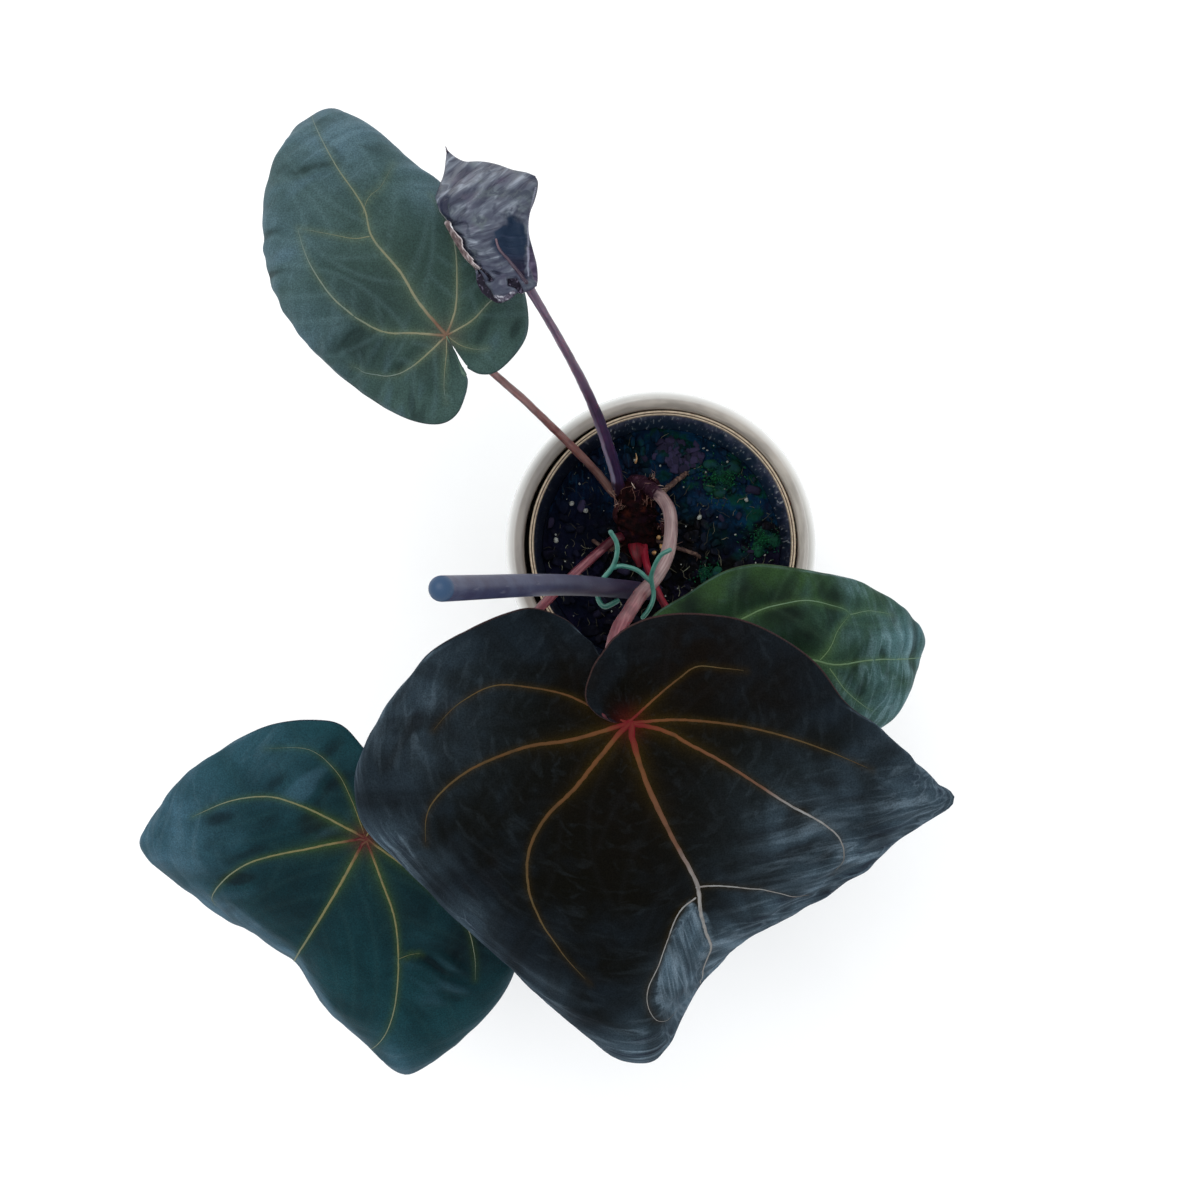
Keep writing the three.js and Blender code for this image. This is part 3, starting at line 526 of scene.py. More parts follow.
class Blade:
    """A leaf blade as a fine sheet of spokes and rings, with its relief, and its veins as tubes in it."""

    def __init__(self, leaf, seed):
        self.leaf = leaf
        self.random = random.Random(seed)
        self.seed = seed
        rows = spaced(leaf["outline"], leaf["spokes"])
        self.azimuth = np.degrees(np.unwrap(np.arctan2(rows[:, 1], rows[:, 0])))
        self.shares = np.linspace(0, 1, leaf["rings"] + 1)
        self.base = self.spokes(rows)
        self.x, self.y = (self.base - self.base[0, 0])[..., :2].transpose(2, 0, 1)
        steps = np.linalg.norm(np.diff(self.base, axis=1), axis=2)
        self.arc = np.concatenate([np.zeros((len(rows), 1)), np.cumsum(steps, axis=1)], axis=1)
        self.flat = self.unrolled(self.azimuth[:, None], self.arc)
        self.mains = [self.vein_line(path) for _, _, path in leaf["veins"]]
        self.twigs = self.grow_twigs(leaf["relief"]["step"])
        self.shape_surface()

    def spokes(self, rows):
        """Each spoke arches a little from the joint, then turns down. Its widest point is on the outline."""
        t = self.shares
        reach = np.hypot(rows[:, 0], rows[:, 1])
        drop = rows[:, 2]
        tuck = HANG["tuck"] * np.maximum(0, drop - HANG["tuck_from"])
        hang = smoothstep(drop, HANG["from"], HANG["to"])
        out = np.stack([0 * reach, 0.42 * reach, (0.75 + 0.33 * hang) * reach, reach - tuck], axis=1)
        fall = np.stack([0 * reach, 0.05 * reach, -(0.35 - 0.23 * hang) * drop, -drop], axis=1)
        weights = [(1 - t) ** 3, 3 * t * (1 - t) ** 2, 3 * t * t * (1 - t), t ** 3]
        across = out @ weights
        across = across / across.max(axis=1, keepdims=True)
        points = np.stack([rows[:, :1] * across, rows[:, 1:2] * across, fall @ weights], axis=-1)
        return points + self.leaf["joint"]

    def unrolled(self, azimuth, arc):
        """Places on the flattened blade. A lobe that laps over the other one is kept apart from it."""
        turn = np.radians(azimuth)
        apart = 60 * smoothstep(azimuth - self.azimuth[0], 330, 360)
        return np.stack(np.broadcast_arrays(arc * np.cos(turn), arc * np.sin(turn), apart), axis=-1)

    def sample(self, grid, azimuth, share):
        """Values of a grid at places between its spokes and rings."""
        s = np.interp(azimuth, self.azimuth, np.arange(len(self.azimuth)))
        r = np.clip(share, 0, 1) * (len(self.shares) - 1)
        s0 = np.minimum(s.astype(int), len(self.azimuth) - 2)
        r0 = np.minimum(r.astype(int), len(self.shares) - 2)
        fs = s - s0
        fr = r - r0
        if grid.ndim == 3:
            fs = fs[:, None]
            fr = fr[:, None]
        low, high = (grid[s0, r] * (1 - fs) + grid[s0 + 1, r] * fs for r in (r0, r0 + 1))
        return low * (1 - fr) + high * fr

    def vein_line(self, path):
        """Azimuths and shares, close together, along a vein, and its line on the flattened blade."""
        azimuth, share = np.array(path, float).T
        turn = np.radians(azimuth)
        dense = smooth_line(np.stack([share * np.cos(turn), share * np.sin(turn)], axis=1), 14)
        share = np.hypot(dense[:, 0], dense[:, 1])
        azimuth = np.degrees(np.unwrap(np.arctan2(dense[:, 1], dense[:, 0])))
        azimuth[share < 0.01] = path[0][0]
        azimuth = azimuth + 360 * np.round((path[-1][0] - azimuth[-1]) / 360)
        first = share > 0.01
        azimuth[first] = azimuth[first] - 360 * np.round((azimuth[first] - path[-1][0]) / 360)
        arc = self.sample(self.arc, azimuth, share)
        return azimuth, share, self.unrolled(azimuth, arc)

    def grow_twigs(self, step):
        """Side veins leave the main ones on both sides, bend forward and end where they meet another."""
        taken = {}
        starts = []

        def cell(point):
            return tuple(np.round(point / TWIG["cell"]).astype(int))

        for main, (_, _, line) in enumerate(self.mains):
            for point in line:
                taken.setdefault(cell(point), main)
            length = distances(line)[-1]
            at = step * 1.2
            while at < length:
                here, ahead = along_line(line, np.array([at, at + 1.5]))
                if at < length - 2:
                    forward = math.atan2(*(ahead - here)[1::-1])
                starts.extend((at, main, here, forward, side) for side in (-1, 1))
                at += step * self.random.uniform(0.8, 1.2)
        starts.sort(key=lambda start: start[0])
        twigs = []
        for number, (_, main, here, forward, side) in enumerate(starts, 100):
            heading = forward + side * math.radians(self.random.uniform(50, 64))
            bend = math.radians(self.random.uniform(0.6, 1.5))
            point = here.copy()
            walk = [here]
            while len(walk) < TWIG["longest"]:
                point[:2] += TWIG["stride"] * np.array([math.cos(heading), math.sin(heading)])
                heading -= side * bend + math.radians(self.random.uniform(-1.2, 1.2))
                azimuth = math.degrees(math.atan2(point[1], point[0]))
                azimuth += 360 * round((self.azimuth[0] + 178 - azimuth) / 360)
                if math.hypot(point[0], point[1]) > np.interp(azimuth, self.azimuth, self.arc[:, -1]) - 1:
                    break
                owner = taken.get(cell(point), number)
                if owner not in (number, main) or (owner == main and len(walk) > 6):
                    break
                taken[cell(point)] = number
                walk.append(point.copy())
            if len(walk) > TWIG["shortest"]:
                twigs.append(np.array(walk))
        return twigs

    def nearness(self, lines):
        """How far each grid point lies from the nearest of some lines on the flattened blade."""
        tree = point_tree(np.concatenate([spaced(line, 2 * len(line)) for line in lines]))
        flat = self.flat.reshape(-1, 3)
        return np.array([tree.find(point)[2] for point in flat]).reshape(self.flat.shape[:2])

    def ripples(self):
        """Wrinkles that run along the margin, stronger towards it, and broad soft waves."""
        reach = self.arc[:, -1].mean()
        turn = np.radians(self.azimuth) * reach
        wave = np.zeros(self.arc.shape)
        for i, row in enumerate(self.flat):
            for j, (x, y, apart) in enumerate(row):
                broad = ripple(x / 24, y / 24, self.seed + apart)
                depth = self.arc[i, j] + 5 * broad
                wave[i, j] = 1.4 * broad + ripple(depth / 6.5, turn[i] / 30, self.seed)
        fade = 0.35 + 0.65 * smoothstep(self.shares, 0.35, 0.8)
        start = smoothstep(self.arc, 2, 14)
        edge = 1 - 0.5 * smoothstep(self.shares, 0.9, 1)
        return self.leaf["relief"]["wrinkle"] * wave * fade * start * edge

    def spots(self, key):
        """Soft round spots: place, radius and strength. The strongest counts."""
        total = 0 * self.x
        for x, y, radius, strength in self.leaf[key]:
            far = (self.x - x) ** 2 + (self.y - y) ** 2
            total = np.maximum(total, strength * np.exp(-far / radius ** 2))
        return total

    def folded(self):
        """Folds around some places, each with its direction in degrees, its spacing and its height, and
        the same folds all equally high, which the finish uses to paint shade in their hollows and sheen on
        their crests."""
        total = np.zeros((2, *self.x.shape))
        for x, y, radius, turn, spacing, height in self.leaf["folds"]:
            near = np.exp(-((self.x - x) ** 2 + (self.y - y) ** 2) / radius ** 2)
            c, s = math.cos(math.radians(turn)), math.sin(math.radians(turn))
            along = (self.x * c + self.y * s) / (3 * spacing)
            across = (self.y * c - self.x * s) / spacing
            for i, j in zip(*np.nonzero(near > 0.03)):
                fold = near[i, j] * ripple(along[i, j], across[i, j], self.seed + turn)
                total[:, i, j] += (height * fold, fold)
        return total * smoothstep(self.arc, 3, 12)

    def shape_surface(self):
        relief = self.leaf["relief"]
        fold, self.fold = self.folded()
        self.to_main = self.nearness([line[2] for line in self.mains])
        self.to_twig = self.nearness(self.twigs)
        quilt = 1 - bell(self.to_twig, relief["quilt_width"])
        puff = 1 - bell(self.to_main, relief["puff_width"])
        rim = 1 - 0.8 * smoothstep(self.shares, 0.9, 1.0)
        height = (relief["puff"] * puff + relief["quilt"] * quilt * puff) * rim + self.ripples() + fold * rim
        self.top = self.base + self.normals(self.base) * height[..., None]
        self.normal = self.normals(self.top)
        self.bottom = self.top - self.normal * BLADE_THICKNESS

    @staticmethod
    def normals(grid):
        normal = unit(np.cross(np.gradient(grid, axis=1), np.gradient(grid, axis=0)))
        normal[:, 0] = UP
        return normal

    def sheet(self):
        """The blade as one closed shape: two skins, a rounded margin and a wall along the sinus."""
        spokes, rings = self.top.shape[0], self.top.shape[1] - 1
        out = unit(self.top[:, -1] - self.top[:, -3])
        margin = (self.top[:, -1] + self.bottom[:, -1]) / 2 + out * BLADE_THICKNESS * 0.6
        points = np.vstack([
            self.top[:1, 0], self.bottom[:1, 0],
            self.top[:, 1:].reshape(-1, 3), self.bottom[:, 1:].reshape(-1, 3), margin])
        upper = 2 + np.arange(spokes * rings).reshape(spokes, rings)
        lower = upper + spokes * rings
        edge = 2 + 2 * spokes * rings + np.arange(spokes)
        faces = []
        for s in range(spokes - 1):
            faces.append((0, upper[s, 0], upper[s + 1, 0]))
            faces.append((1, lower[s + 1, 0], lower[s, 0]))
            for r in range(rings - 1):
                faces.append((upper[s, r], upper[s, r + 1], upper[s + 1, r + 1], upper[s + 1, r]))
                faces.append((lower[s, r], lower[s + 1, r], lower[s + 1, r + 1], lower[s, r + 1]))
            faces.append((upper[s, -1], edge[s], edge[s + 1], upper[s + 1, -1]))
            faces.append((edge[s], lower[s, -1], lower[s + 1, -1], edge[s + 1]))
        for s, order in ((0, 1), (spokes - 1, -1)):
            walls = [(0, 1, lower[s, 0], upper[s, 0])]
            for r in range(rings - 1):
                walls.append((upper[s, r], lower[s, r], lower[s, r + 1], upper[s, r + 1]))
            walls.append((upper[s, -1], lower[s, -1], edge[s]))
            faces.extend(wall[::order] for wall in walls)
        middle, half, first = self.leaf.get("fan", NO_FAN)
        fan = smoothstep(half - np.abs(self.azimuth - middle), 0, 3)[:, None]
        fan = fan * smoothstep(self.shares, first, first + 0.05)
        sky = self.spots("sky")
        for strength, soft, corners in self.leaf.get("patches", []):
            sky = np.maximum(sky, strength * inside(self.x, self.y, corners, soft))
        slant = 0 * self.x
        for x, y, radius in self.leaf.get("slant", NO_SLANT)[1]:
            far = np.hypot(self.x - x, self.y - y)
            slant = np.maximum(slant, 1 - smoothstep(far, 0.7 * radius, 1.2 * radius))
        # sky, shade, fold and slope carry where painted sheen and painted shade go on the skin.
        values = {
            "sky": sky,
            "shade": self.spots("shade"),
            "fold": self.fold,
            "slant": slant,
            "vein": bell(self.to_main, 1.5),
            "glow": bell(self.to_main, 4.5),
            "twig": bell(self.to_twig, 1.0),
            "quilt": 1 - bell(self.to_twig, 3.4),
            "hub": bell(self.arc, 5.5),
            "share": np.broadcast_to(self.shares, self.arc.shape),
            "slope": 1 - np.clip(self.normal[..., 2], 0, 1),
            "fan": fan,
        }
        around = np.radians(self.azimuth)[:, None] * self.arc[:, -1].mean() + 0 * self.arc
        sheet_place = np.stack([self.arc, around, 0 * self.arc], axis=-1)
        halves = np.repeat([0.0, 1.0], spokes * rings)
        skins = {"under": np.r_[0, 1, halves, np.full(spokes, 0.5)]}
        for name, grid in values.items():
            flat = grid[:, 1:].ravel()
            skins[name] = np.concatenate([[grid[0, 0]] * 2, flat, flat, grid[:, -1]])
        flat = sheet_place[:, 1:].reshape(-1, 3)
        skins["skin"] = np.vstack([sheet_place[:1, 0], sheet_place[:1, 0], flat, flat, sheet_place[:, -1]])
        return Shape(points, faces, **skins)

    def ribs(self):
        """The veins: tapered tubes that stand a little proud above the blade and more below it."""
        shape = Shape()
        count = RIB["steps"]
        veins = self.leaf["veins"]
        for number, ((width, pale, _), (azimuth, share, _)) in enumerate(zip(veins, self.mains)):
            at = np.linspace(0, len(share) - 1, count)
            azimuths = np.interp(at, np.arange(len(share)), azimuth)
            shares = np.interp(at, np.arange(len(share)), share)
            line = self.sample(self.top, azimuths, shares)
            ups = unit(self.sample(self.normal, azimuths, shares))
            far = np.linspace(0, 1, count)
            half = 0.5 * width * (0.2 + 0.8 * (1 - far) ** 0.9) * (1 + 0.4 * np.exp(-shares / 0.03))
            tall = 0.38 + 0.34 * half
            proud = (0.14 + 0.16 * half) * (1 - far ** 12)
            centre = line + ups * (proud - tall)[:, None]
            uneven = wobble(number + 50 * self.seed, [(0.05, 0, 3.1), (0.05, 1, 5.3), (0.04, 2, 2.2)])
            points, faces, found = tube(centre, np.stack([half, tall], axis=1), 10, ups, 3, uneven)
            place = shares[np.clip((found["along"] * (count - 1)).astype(int), 0, count - 1)]
            shape.add(points, faces, **found, pale=float(pale), share=place)
        joint = self.top[0, 0]
        knob = 0.45 * max(row[0] for row in veins) + 0.6
        path = [joint + UP * z for z in np.linspace(-RIB["knob_depth"], RIB["knob_rise"] - knob, 8)]
        shape.tube(path, [knob] * len(path), 20, keep=["skin"], along=0.0, pale=0.0, share=0.0)
        return shape


def blade_finish(name, look, slant):
    """Velvet or waxy leaf skin. look holds its colours, its sheen and its gloss. Besides its own tones,
    sheen, highlights and shade of its relief are painted into the colour.
    """
    f = Finish(name, look["rough"], look["specular"],
               Sheen_Weight=look["sheen"], Sheen_Roughness=0.45, Sheen_Tint=look["sheen_tint"])
    skin = f.vector("skin")
    share = f.value("share")
    fold = f.value("fold")
    oblique = f.rotated(f.object_mm, -math.radians(slant))

    def grain_lines(size, detail, warp):
        ring = f.noise(size, detail, (1, 0.2, 1), skin, warp)
        spoke = f.noise(size * 0.7, detail, (0.07, 1, 1), skin, warp)
        cross = f.noise(size, detail, (0.17, 1, 0.3), oblique, warp)
        return f.between(f.value("slant"), f.between(f.value("fan"), ring, spoke), cross)

    patch = f.noise(17, 4, warp=0.4)
    far = f.plus(share, f.remap(patch, 0.2, 0.8, -0.25, 0.25))
    base = f.over(look["deep"], look["pale"], far, 0.25, 0.8)
    crease = grain_lines(look["streak"], 3, 0.6)
    slope = f.remap(f.value("slope"), look["slope_from"], 0.8, 0.0, look["slope_sheen_share"])
    # Where painted sheen goes: the sky spots and patches, and steep parts.
    sky = f.math("MINIMUM", f.plus(f.value("sky"), slope), 1.0)
    shown = f.times(look["painted_streak_share"], f.remap(sky, 0.05, 0.75, look["painted_streak_flat"], 1.0))
    apart = f.size(f.less(grain_lines(look["streak"] * 1.5, 2, 0.9), 0.5))
    highlight_thread = f.remap(apart, 0.0, 0.05, look["highlight_thread"], 0.0)
    fading = f.remap(share, 0.0, look["glow_to"], 1.0, 0.0)
    # Painted light first: sheen on steep and sky parts, highlights on crests and threads, shade in troughs,
    # grooves, folds and shade spots. Then the real colours of twigs, vein halos, hub and rim.
    for strength, shade in (
        (f.times(sky, f.remap(patch, 0.3, 0.7, 0.6, 1.1)), "steep_sheen"),
        (f.times(f.remap(crease, 0.5, 0.72), shown), "highlit_crest"),
        (f.times(f.remap(crease, 0.3, 0.5, 0.9, 0.0), shown), "shaded_trough"),
        (f.times(highlight_thread, f.remap(sky, 0.1, 0.7)), "highlit_crest"),
        (f.remap(f.value("quilt"), 0.2, 0.95, look["quilt_shade_share"], 0.0), "deep"),
        (f.remap(fold, -0.34, -0.04, look["fold_shade_share"], 0.0), "dark_and_shade"),
        (f.remap(fold, 0.0, 0.6, 0.0, 0.45 * look["fold_shade_share"]), "steep_sheen"),
        (f.times(f.value("shade"), f.remap(f.noise(8, 3, warp=0.3), 0.3, 0.6, 0.65, 1.1)), "dark_and_shade"),
        (f.times(f.value("twig"), look["twig_share"]), "twig"),
        (f.times(f.value("glow"), f.times(fading, look["glow_share"])), "halo"),
        (f.times(f.value("vein"), f.remap(share, 0.2, 0.9, look["halo_share"], 0.15)), "halo"),
        (f.times(f.value("hub"), look["hub_share"]), "hub"),
        (f.times(f.remap(share, look["rim_from"], 0.997), look["rim_share"]), "rim"),
    ):
        base = f.mix(strength, base, look[shade])
    grain = f.remap(f.noise(0.55, 3), 0.3, 0.7, 0.76, 1.26)
    grain = f.node("ShaderNodeCombineXYZ", {0: grain, 1: grain, 2: grain}).outputs[0]
    base = f.mix(1.0, base, grain, "MULTIPLY")
    back = f.over(look["under"], look["under_pale"], f.noise(9, 3), 0.35, 0.65)
    back = f.mix(f.times(f.value("twig"), 0.5), back, look["under_vein"])
    back = f.mix(f.times(f.value("vein"), 0.6), back, look["under_vein"])
    base = f.over(base, back, f.value("under"), 0.55, 0.95)
    bumps = f.bump(f.noise(0.45, 2), 0.08)
    bumps = f.bump(f.cells(1.2), 0.10, bumps)
    bumps = f.bump(f.times(crease, f.remap(share, 0.2, 0.7)), look["bump"], bumps)
    return f.done(base, bumps)


def rib_finish(name, near, gold, pale):
    """Veins: ramps by how far out they are, for the golden, the pinkish and the white ones."""
    f = Finish(name, 0.6, 0.06)
    skin = f.vector("skin")
    share = f.value("share")
    inner = [(0.0, near[0]), (0.03, near[0])]
    base = f.ramp(share, [*inner, (0.09, near[1]), (0.35, gold[0]), (0.65, gold[1])])
    white = f.ramp(share, [*inner, (0.1, near[1]), (0.36, pale[0]), (0.47, pale[1])])
    base = f.over(base, white, f.value("pale"), 0.2, 0.8)
    base = f.over(base, pale[1], f.value("pale"), 1.2, 1.8)
    base = f.over(base, pale[2], f.value("along"), 0.75, 1.0, 0.0, 0.55)
    streak = f.noise(0.6, 2, (1, 1, 0.12), skin)
    base = f.over(base, near[1], streak, 0.35, 0.75, 0.0, 0.35)
    base = f.over(base, pale[2], f.noise(5, 2, source=skin), 0.45, 0.7, 0.0, 0.3)
    return f.done(base, f.bump(streak, 0.08))


# Looks of the four flat blades, each row in this order.
FLAT_BLADES = ("upper_left", "centre", "right", "lower_left")
BLADE_LOOKS = {
    "slot": ("leaf_blue_green", "leaf_dark_velvet", "leaf_green", "leaf_teal"),
    "deep": (0x263a35, 0x080805, 0x0f2514, 0x08252a),
    "pale": (0x344945, 0x11171c, 0x243c1e, 0x103339),
    # Painted sheen: the colour laid where the surface is steep or turns towards the bright surroundings, and
    # how much steepness adds of it.
    "steep_sheen": (0x48606e, 0x485a66, 0x48666c, 0x3c5a6a),
    "slope_from": (0.2, 0.25, 0.25, 0.2),
    "slope_sheen_share": (0.25, 0.3, 0.3, 0.25),
    # Painted highlights on the crests of fine ridges and thin threads, and painted shade in their troughs:
    # their colours, the streak size and how strong they are where sheen is and where the blade is flat.
    "highlit_crest": (0x647e88, 0x687884, 0x708c92, 0x5a727e),
    "streak": (6.0, 3.8, 4.5, 6.0),
    "highlight_thread": (0.12, 0.4, 0.35, 0.15),
    "shaded_trough": (0x283c3e, 0x101322, 0x1e3a38, 0x0e262e),
    "painted_streak_share": (0.3, 0.8, 0.5, 0.25),
    "painted_streak_flat": (0.1, 0.04, 0.08, 0.05),
    # Painted shade in the grooves along the side veins.
    "quilt_shade_share": (0.15, 0.3, 0.35, 0.25),
    # Painted shade in fold hollows and painted sheen on fold crests, and the colour of painted shade in
    # folds and in the shade spots, which on the centre leaf also give its darker brown top.
    "fold_shade_share": (0.75, 0.4, 0.6, 0.75),
    "dark_and_shade": (0x182826, 0x0d0906, 0x06150e, 0x061216),
    "twig": (0x5c767a, 0x2e3238, 0x547058, 0x2e4a4a),
    "twig_share": (0.13, 0.04, 0.07, 0.08),
    "halo": (0x54624c, 0x302406, 0x445e38, 0x34461e),
    "glow_share": (0.15, 0.4, 0.3, 0.35),
    "glow_to": (0.5, 0.34, 0.5, 0.35),
    "halo_share": (0.35, 0.35, 0.5, 0.5),
    "hub": (0x4c302c, 0x42060c, 0x5a3c30, 0x460c1a),
    "hub_share": (0.3, 0.5, 0.3, 0.7),
    "rim": (0x1e222a, 0x3e2c2a, 0x3c3a2c, 0x20202c),
    "rim_from": (0.99, 0.988, 0.99, 0.99),
    "rim_share": (0.7, 0.6, 0.6, 0.7),
    "under": (0x445a50, 0x48262c, 0x5c7050, 0x484a42),
    "under_pale": (0x566c5e, 0x603c3e, 0x708460, 0x5c5e54),
    "under_vein": (0x78886a, 0x826054, 0x909e76, 0x787a5c),
    "rough": (0.62, 0.8, 0.6, 0.68),
    "specular": (0.1, 0.02, 0.07, 0.06),
    "sheen": (0.04, 0.02, 0.03, 0.03),
    "sheen_tint": (0xbed7e6, 0xaabee6, 0xbee1dc, 0xb4cdeb),
    "bump": (0.5, 0.9, 0.5, 0.6),
}
RIB_LOOKS = {
    "upper_left": ((0x62463a, 0x76745e), (0x686d58, 0x667774),
                   (0x62664e, 0x60706c, 0x506462)),
    "centre": ((0x580816, 0x58361e), (0x44321c, 0x4e4830),
               (0x5a4236, 0x828382, 0x2c261c)),
    "right": ((0x644a36, 0x5a6e48), (0x546c4a, 0x68806c),
              (0x687c5c, 0x7c907c, 0x425e44)),
    "lower_left": ((0x4a0c1c, 0x6e6544), (0x66674a, 0x707a6c),
                   (0x6c6842, 0x70765c, 0x3c524a)),
}


def make_leaves():
    for number, name in enumerate(FLAT_BLADES):
        leaf = LEAVES[name]
        look = {key: row[number] for key, row in BLADE_LOOKS.items()}
        blade = Blade(leaf, number + 1)
        finish = blade_finish(f"blade_{name}", look, leaf.get("slant", NO_SLANT)[0])
        place(f"blade_{name}", blade.sheet(), finish, look["slot"], f"leaf_{name}")
        place(f"veins_{name}", blade.ribs(), rib_finish(f"veins_{name}", *RIB_LOOKS[name]), look["slot"])


# The new leaf, still creased: edges of its sheet to the right of the joint, beyond it and below it

CREASED = {
    "left": [(-16.7, -1.5, 12), (-18.4, 1.9, 12.5), (-19.1, 6.3, 13), (-21.6, 10.3, 15),
             (-25.3, 16.7, 18), (-28.5, 22.7, 20), (-31.2, 28.1, 22), (-32.9, 30, 22.5),
             (-34.3, 33.6, 24), (-35, 36.5, 25), (-34.3, 40, 27), (-33, 45.5, 31), (-32.6, 48.9, 34),
             (-32.4, 53.8, 37), (-32.3, 58.8, 40)],
    "top": [(-32.3, 58.8, 40), (-28.3, 54.6, 36), (-23.9, 51.6, 31), (-18.4, 50.9, 28), (-12.2, 48.9, 25),
            (-5.9, 45.6, 21), (-0.6, 43.6, 17.5), (2.7, 41.6, 15)],
    "right": [(3.9, -1.3, 3), (4.2, 1.6, 3), (3.8, 6.8, 4), (2.5, 12, 5), (1, 18, 6), (0.8, 22.5, 7),
              (1.4, 26.5, 8), (3, 31.6, 10), (3.9, 36.3, 12), (3.8, 39.4, 14), (2.7, 41.6, 15)],
    "bottom": [(-16.7, -1.5, 12), (-14.1, -3.8, 11), (-11.1, -5.6, 10), (-7.6, -5.9, 8), (-5, -4.8, 6),
               (-3.3, -3.7, 4.5), (-0.7, -3.7, 3), (2.2, -2.7, 3), (3.9, -1.3, 3)],
    "pocket": [(-5.4, 25.5), (-7.9, 18.8), (-8.3, 13.4), (-6.6, 10.4), (-3.3, 5.6), (-0.6, 1.6),
               (0.4, 7.6), (0, 16), (-1.2, 22.3), (-3.3, 23.7)],
    "shaded_hollow": [(-31, 36), (-28.6, 34.2), (-27.9, 29.3), (-26.6, 24.4), (-29.3, 24), (-32, 28), (-33, 32)],
    "flank": [(0.7, 13.2), (2.4, 13.2), (6, 7.6), (6, -2), (2.6, 1.2), (1.2, 6.9)],
    "lobes": [[(-17, 7.6), (-16, 4), (-15.3, 1.3), (-13.1, -1.6), (-11.8, -4.4), (-8.2, -6.4),
               (-12.5, -8), (-18, -4.4), (-19, -0.9), (-18.6, 2.7)],
              [(-6.8, 1.6), (-3.3, 1.3), (-1.9, -0.9), (-0.9, -3), (-1.9, -3.9), (-4, -1.8), (-6.5, -0.9)],
              [(-13.9, 4.8), (-12.1, 4.8), (-12.1, 1.6), (-13.9, 1.6)]],
    "frill": [(-12.5, -3.4), (-8, -4.4), (-4.4, -2.6), (-3, -5), (-6, -8), (-12, -8)],
    "highlit_crest": [(3.2, 36), (1.2, 25), (0.6, 19.5), (1.1, 11), (0.9, 2)],
    "vein": [(0.2, -0.4), (-3.1, 4.0), (-6.4, 8.2), (-9.4, 11.8), (-10.3, 13.6), (-10.8, 15.6)],
    "tip": [(-31.9, 57.6, -38.8), (-32.3, 58.6, -39.8), (-32.5, 59.5, -40.4), (-33, 60.2, -40.8)],
    "across": 130, "beyond": 170, "dome": 6.5, "roll": 0.95, "flap": 7.0, "roll_columns": 30,
}


def near_line(grid, line, inner, outer):
    """1 within a distance of a line seen from above, and 0 beyond another distance."""
    gaps = [np.linalg.norm(grid[..., :2] - place, axis=-1) for place in smooth_line(line)]
    return 1 - smoothstep(np.min(gaps, axis=0), inner, outer)


def creased_grid():
    """The sheet between four edge lines, domed, folded, with a deep pocket beside the midrib."""
    across, beyond = CREASED["across"], CREASED["beyond"]
    left, right, bottom, top = (spaced(CREASED[side], count) * np.array([1, 1, -1]) for side, count in (
        ("left", beyond), ("right", beyond), ("bottom", across), ("top", across)))
    u = np.linspace(0, 1, across + 1)[:, None, None]
    v = np.linspace(0, 1, beyond + 1)[None, :, None]
    grid = (1 - u) * left + u * right + (1 - v) * bottom[:, None] + v * top[:, None]
    grid -= (1 - u) * (1 - v) * bottom[0] + u * (1 - v) * bottom[-1] + (1 - u) * v * top[0] + u * v * top[-1]
    dome = (np.sin(math.pi * u) * np.sin(math.pi * v))[..., 0] ** 0.6
    x, y = grid[..., 0], grid[..., 1]
    marks = {name: inside(x, y, CREASED[name], soft) for name, soft in (
        ("pocket", 2.4), ("shaded_hollow", 1.0), ("flank", 0.6), ("frill", 0.9))}
    marks["lobe"] = np.maximum.reduce([inside(x, y, corners, 0.7) for corners in CREASED["lobes"]])
    marks["highlit_crest"] = near_line(grid, CREASED["highlit_crest"], 0.05, 0.5)
    height = CREASED["dome"] * dome
    for name, rise in (("pocket", -3.8), ("flank", -1.4), ("lobe", -2.0), ("highlit_crest", 0.5), ("shaded_hollow", -1.0)):
        height += rise * marks[name]
    folds = 0 * x
    crumpled = marks["lobe"] + marks["frill"]
    for (i, j), a in np.ndenumerate(x):
        b = y[i, j]
        high = float(smoothstep(b, 16, 30))
        lean = 0.1 + 0.75 * high
        along = a * math.cos(lean) + b * math.sin(lean)
        beside = b * math.cos(lean) - a * math.sin(lean) + 2.5 * ripple(a / 9, b / 9, 4)
        gap = 3.4 + 3.0 * high
        beside = beside / gap
        folds[i, j] = 1.7 * ripple(along / 17, beside, 1) + 0.5 * ripple(along / 7, 2 * beside, 2)
        folds[i, j] += 0.8 * crumpled[i, j] * ripple(a / 1.7, b / 1.7, 6)
    grid[..., 2] += height + folds * (0.35 + 0.65 * smoothstep(dome, 0.0, 0.5))
    return grid, marks


def roll_side(grid):
    """Folds the left margin up and over the blade along part of its length, underside up."""
    far = np.linspace(0, 1, grid.shape[1])
    amount = smoothstep(far, 0.12, 0.2) * (1 - smoothstep(far, 0.42, 0.51))
    amount += 0.22 * smoothstep(far, 0.47, 0.53) * (1 - smoothstep(far, 0.6, 0.68))
    columns = CREASED["roll_columns"]
    for j in np.nonzero(amount > 0.02)[0]:
        row = grid[:, j].copy()
        bend = CREASED["roll"] * amount[j]
        lap = CREASED["flap"] * amount[j] * (1 + 0.5 * ripple(j / 11, 3.0, 1.0))
        walk = np.linspace(0, lap + math.pi * bend, columns)
        turn = np.clip((walk - lap) / bend, 0, math.pi)[:, None]
        inward = bend + np.maximum(lap - walk, 0)
        out = unit(along_line(row, inward - 0.6) - along_line(row, inward + 0.6))
        up = unit(UP - out * out[:, 2:])
        rolled = along_line(row, inward) + out * bend * np.sin(turn) + up * (bend * (1 + np.cos(turn)) + 0.2)
        rest = along_line(row, np.linspace(bend, distances(row)[-1], len(row) - columns + 1)[1:])
        grid[:, j] = row * (1 - amount[j]) + np.vstack([rolled, rest]) * amount[j]
    return grid


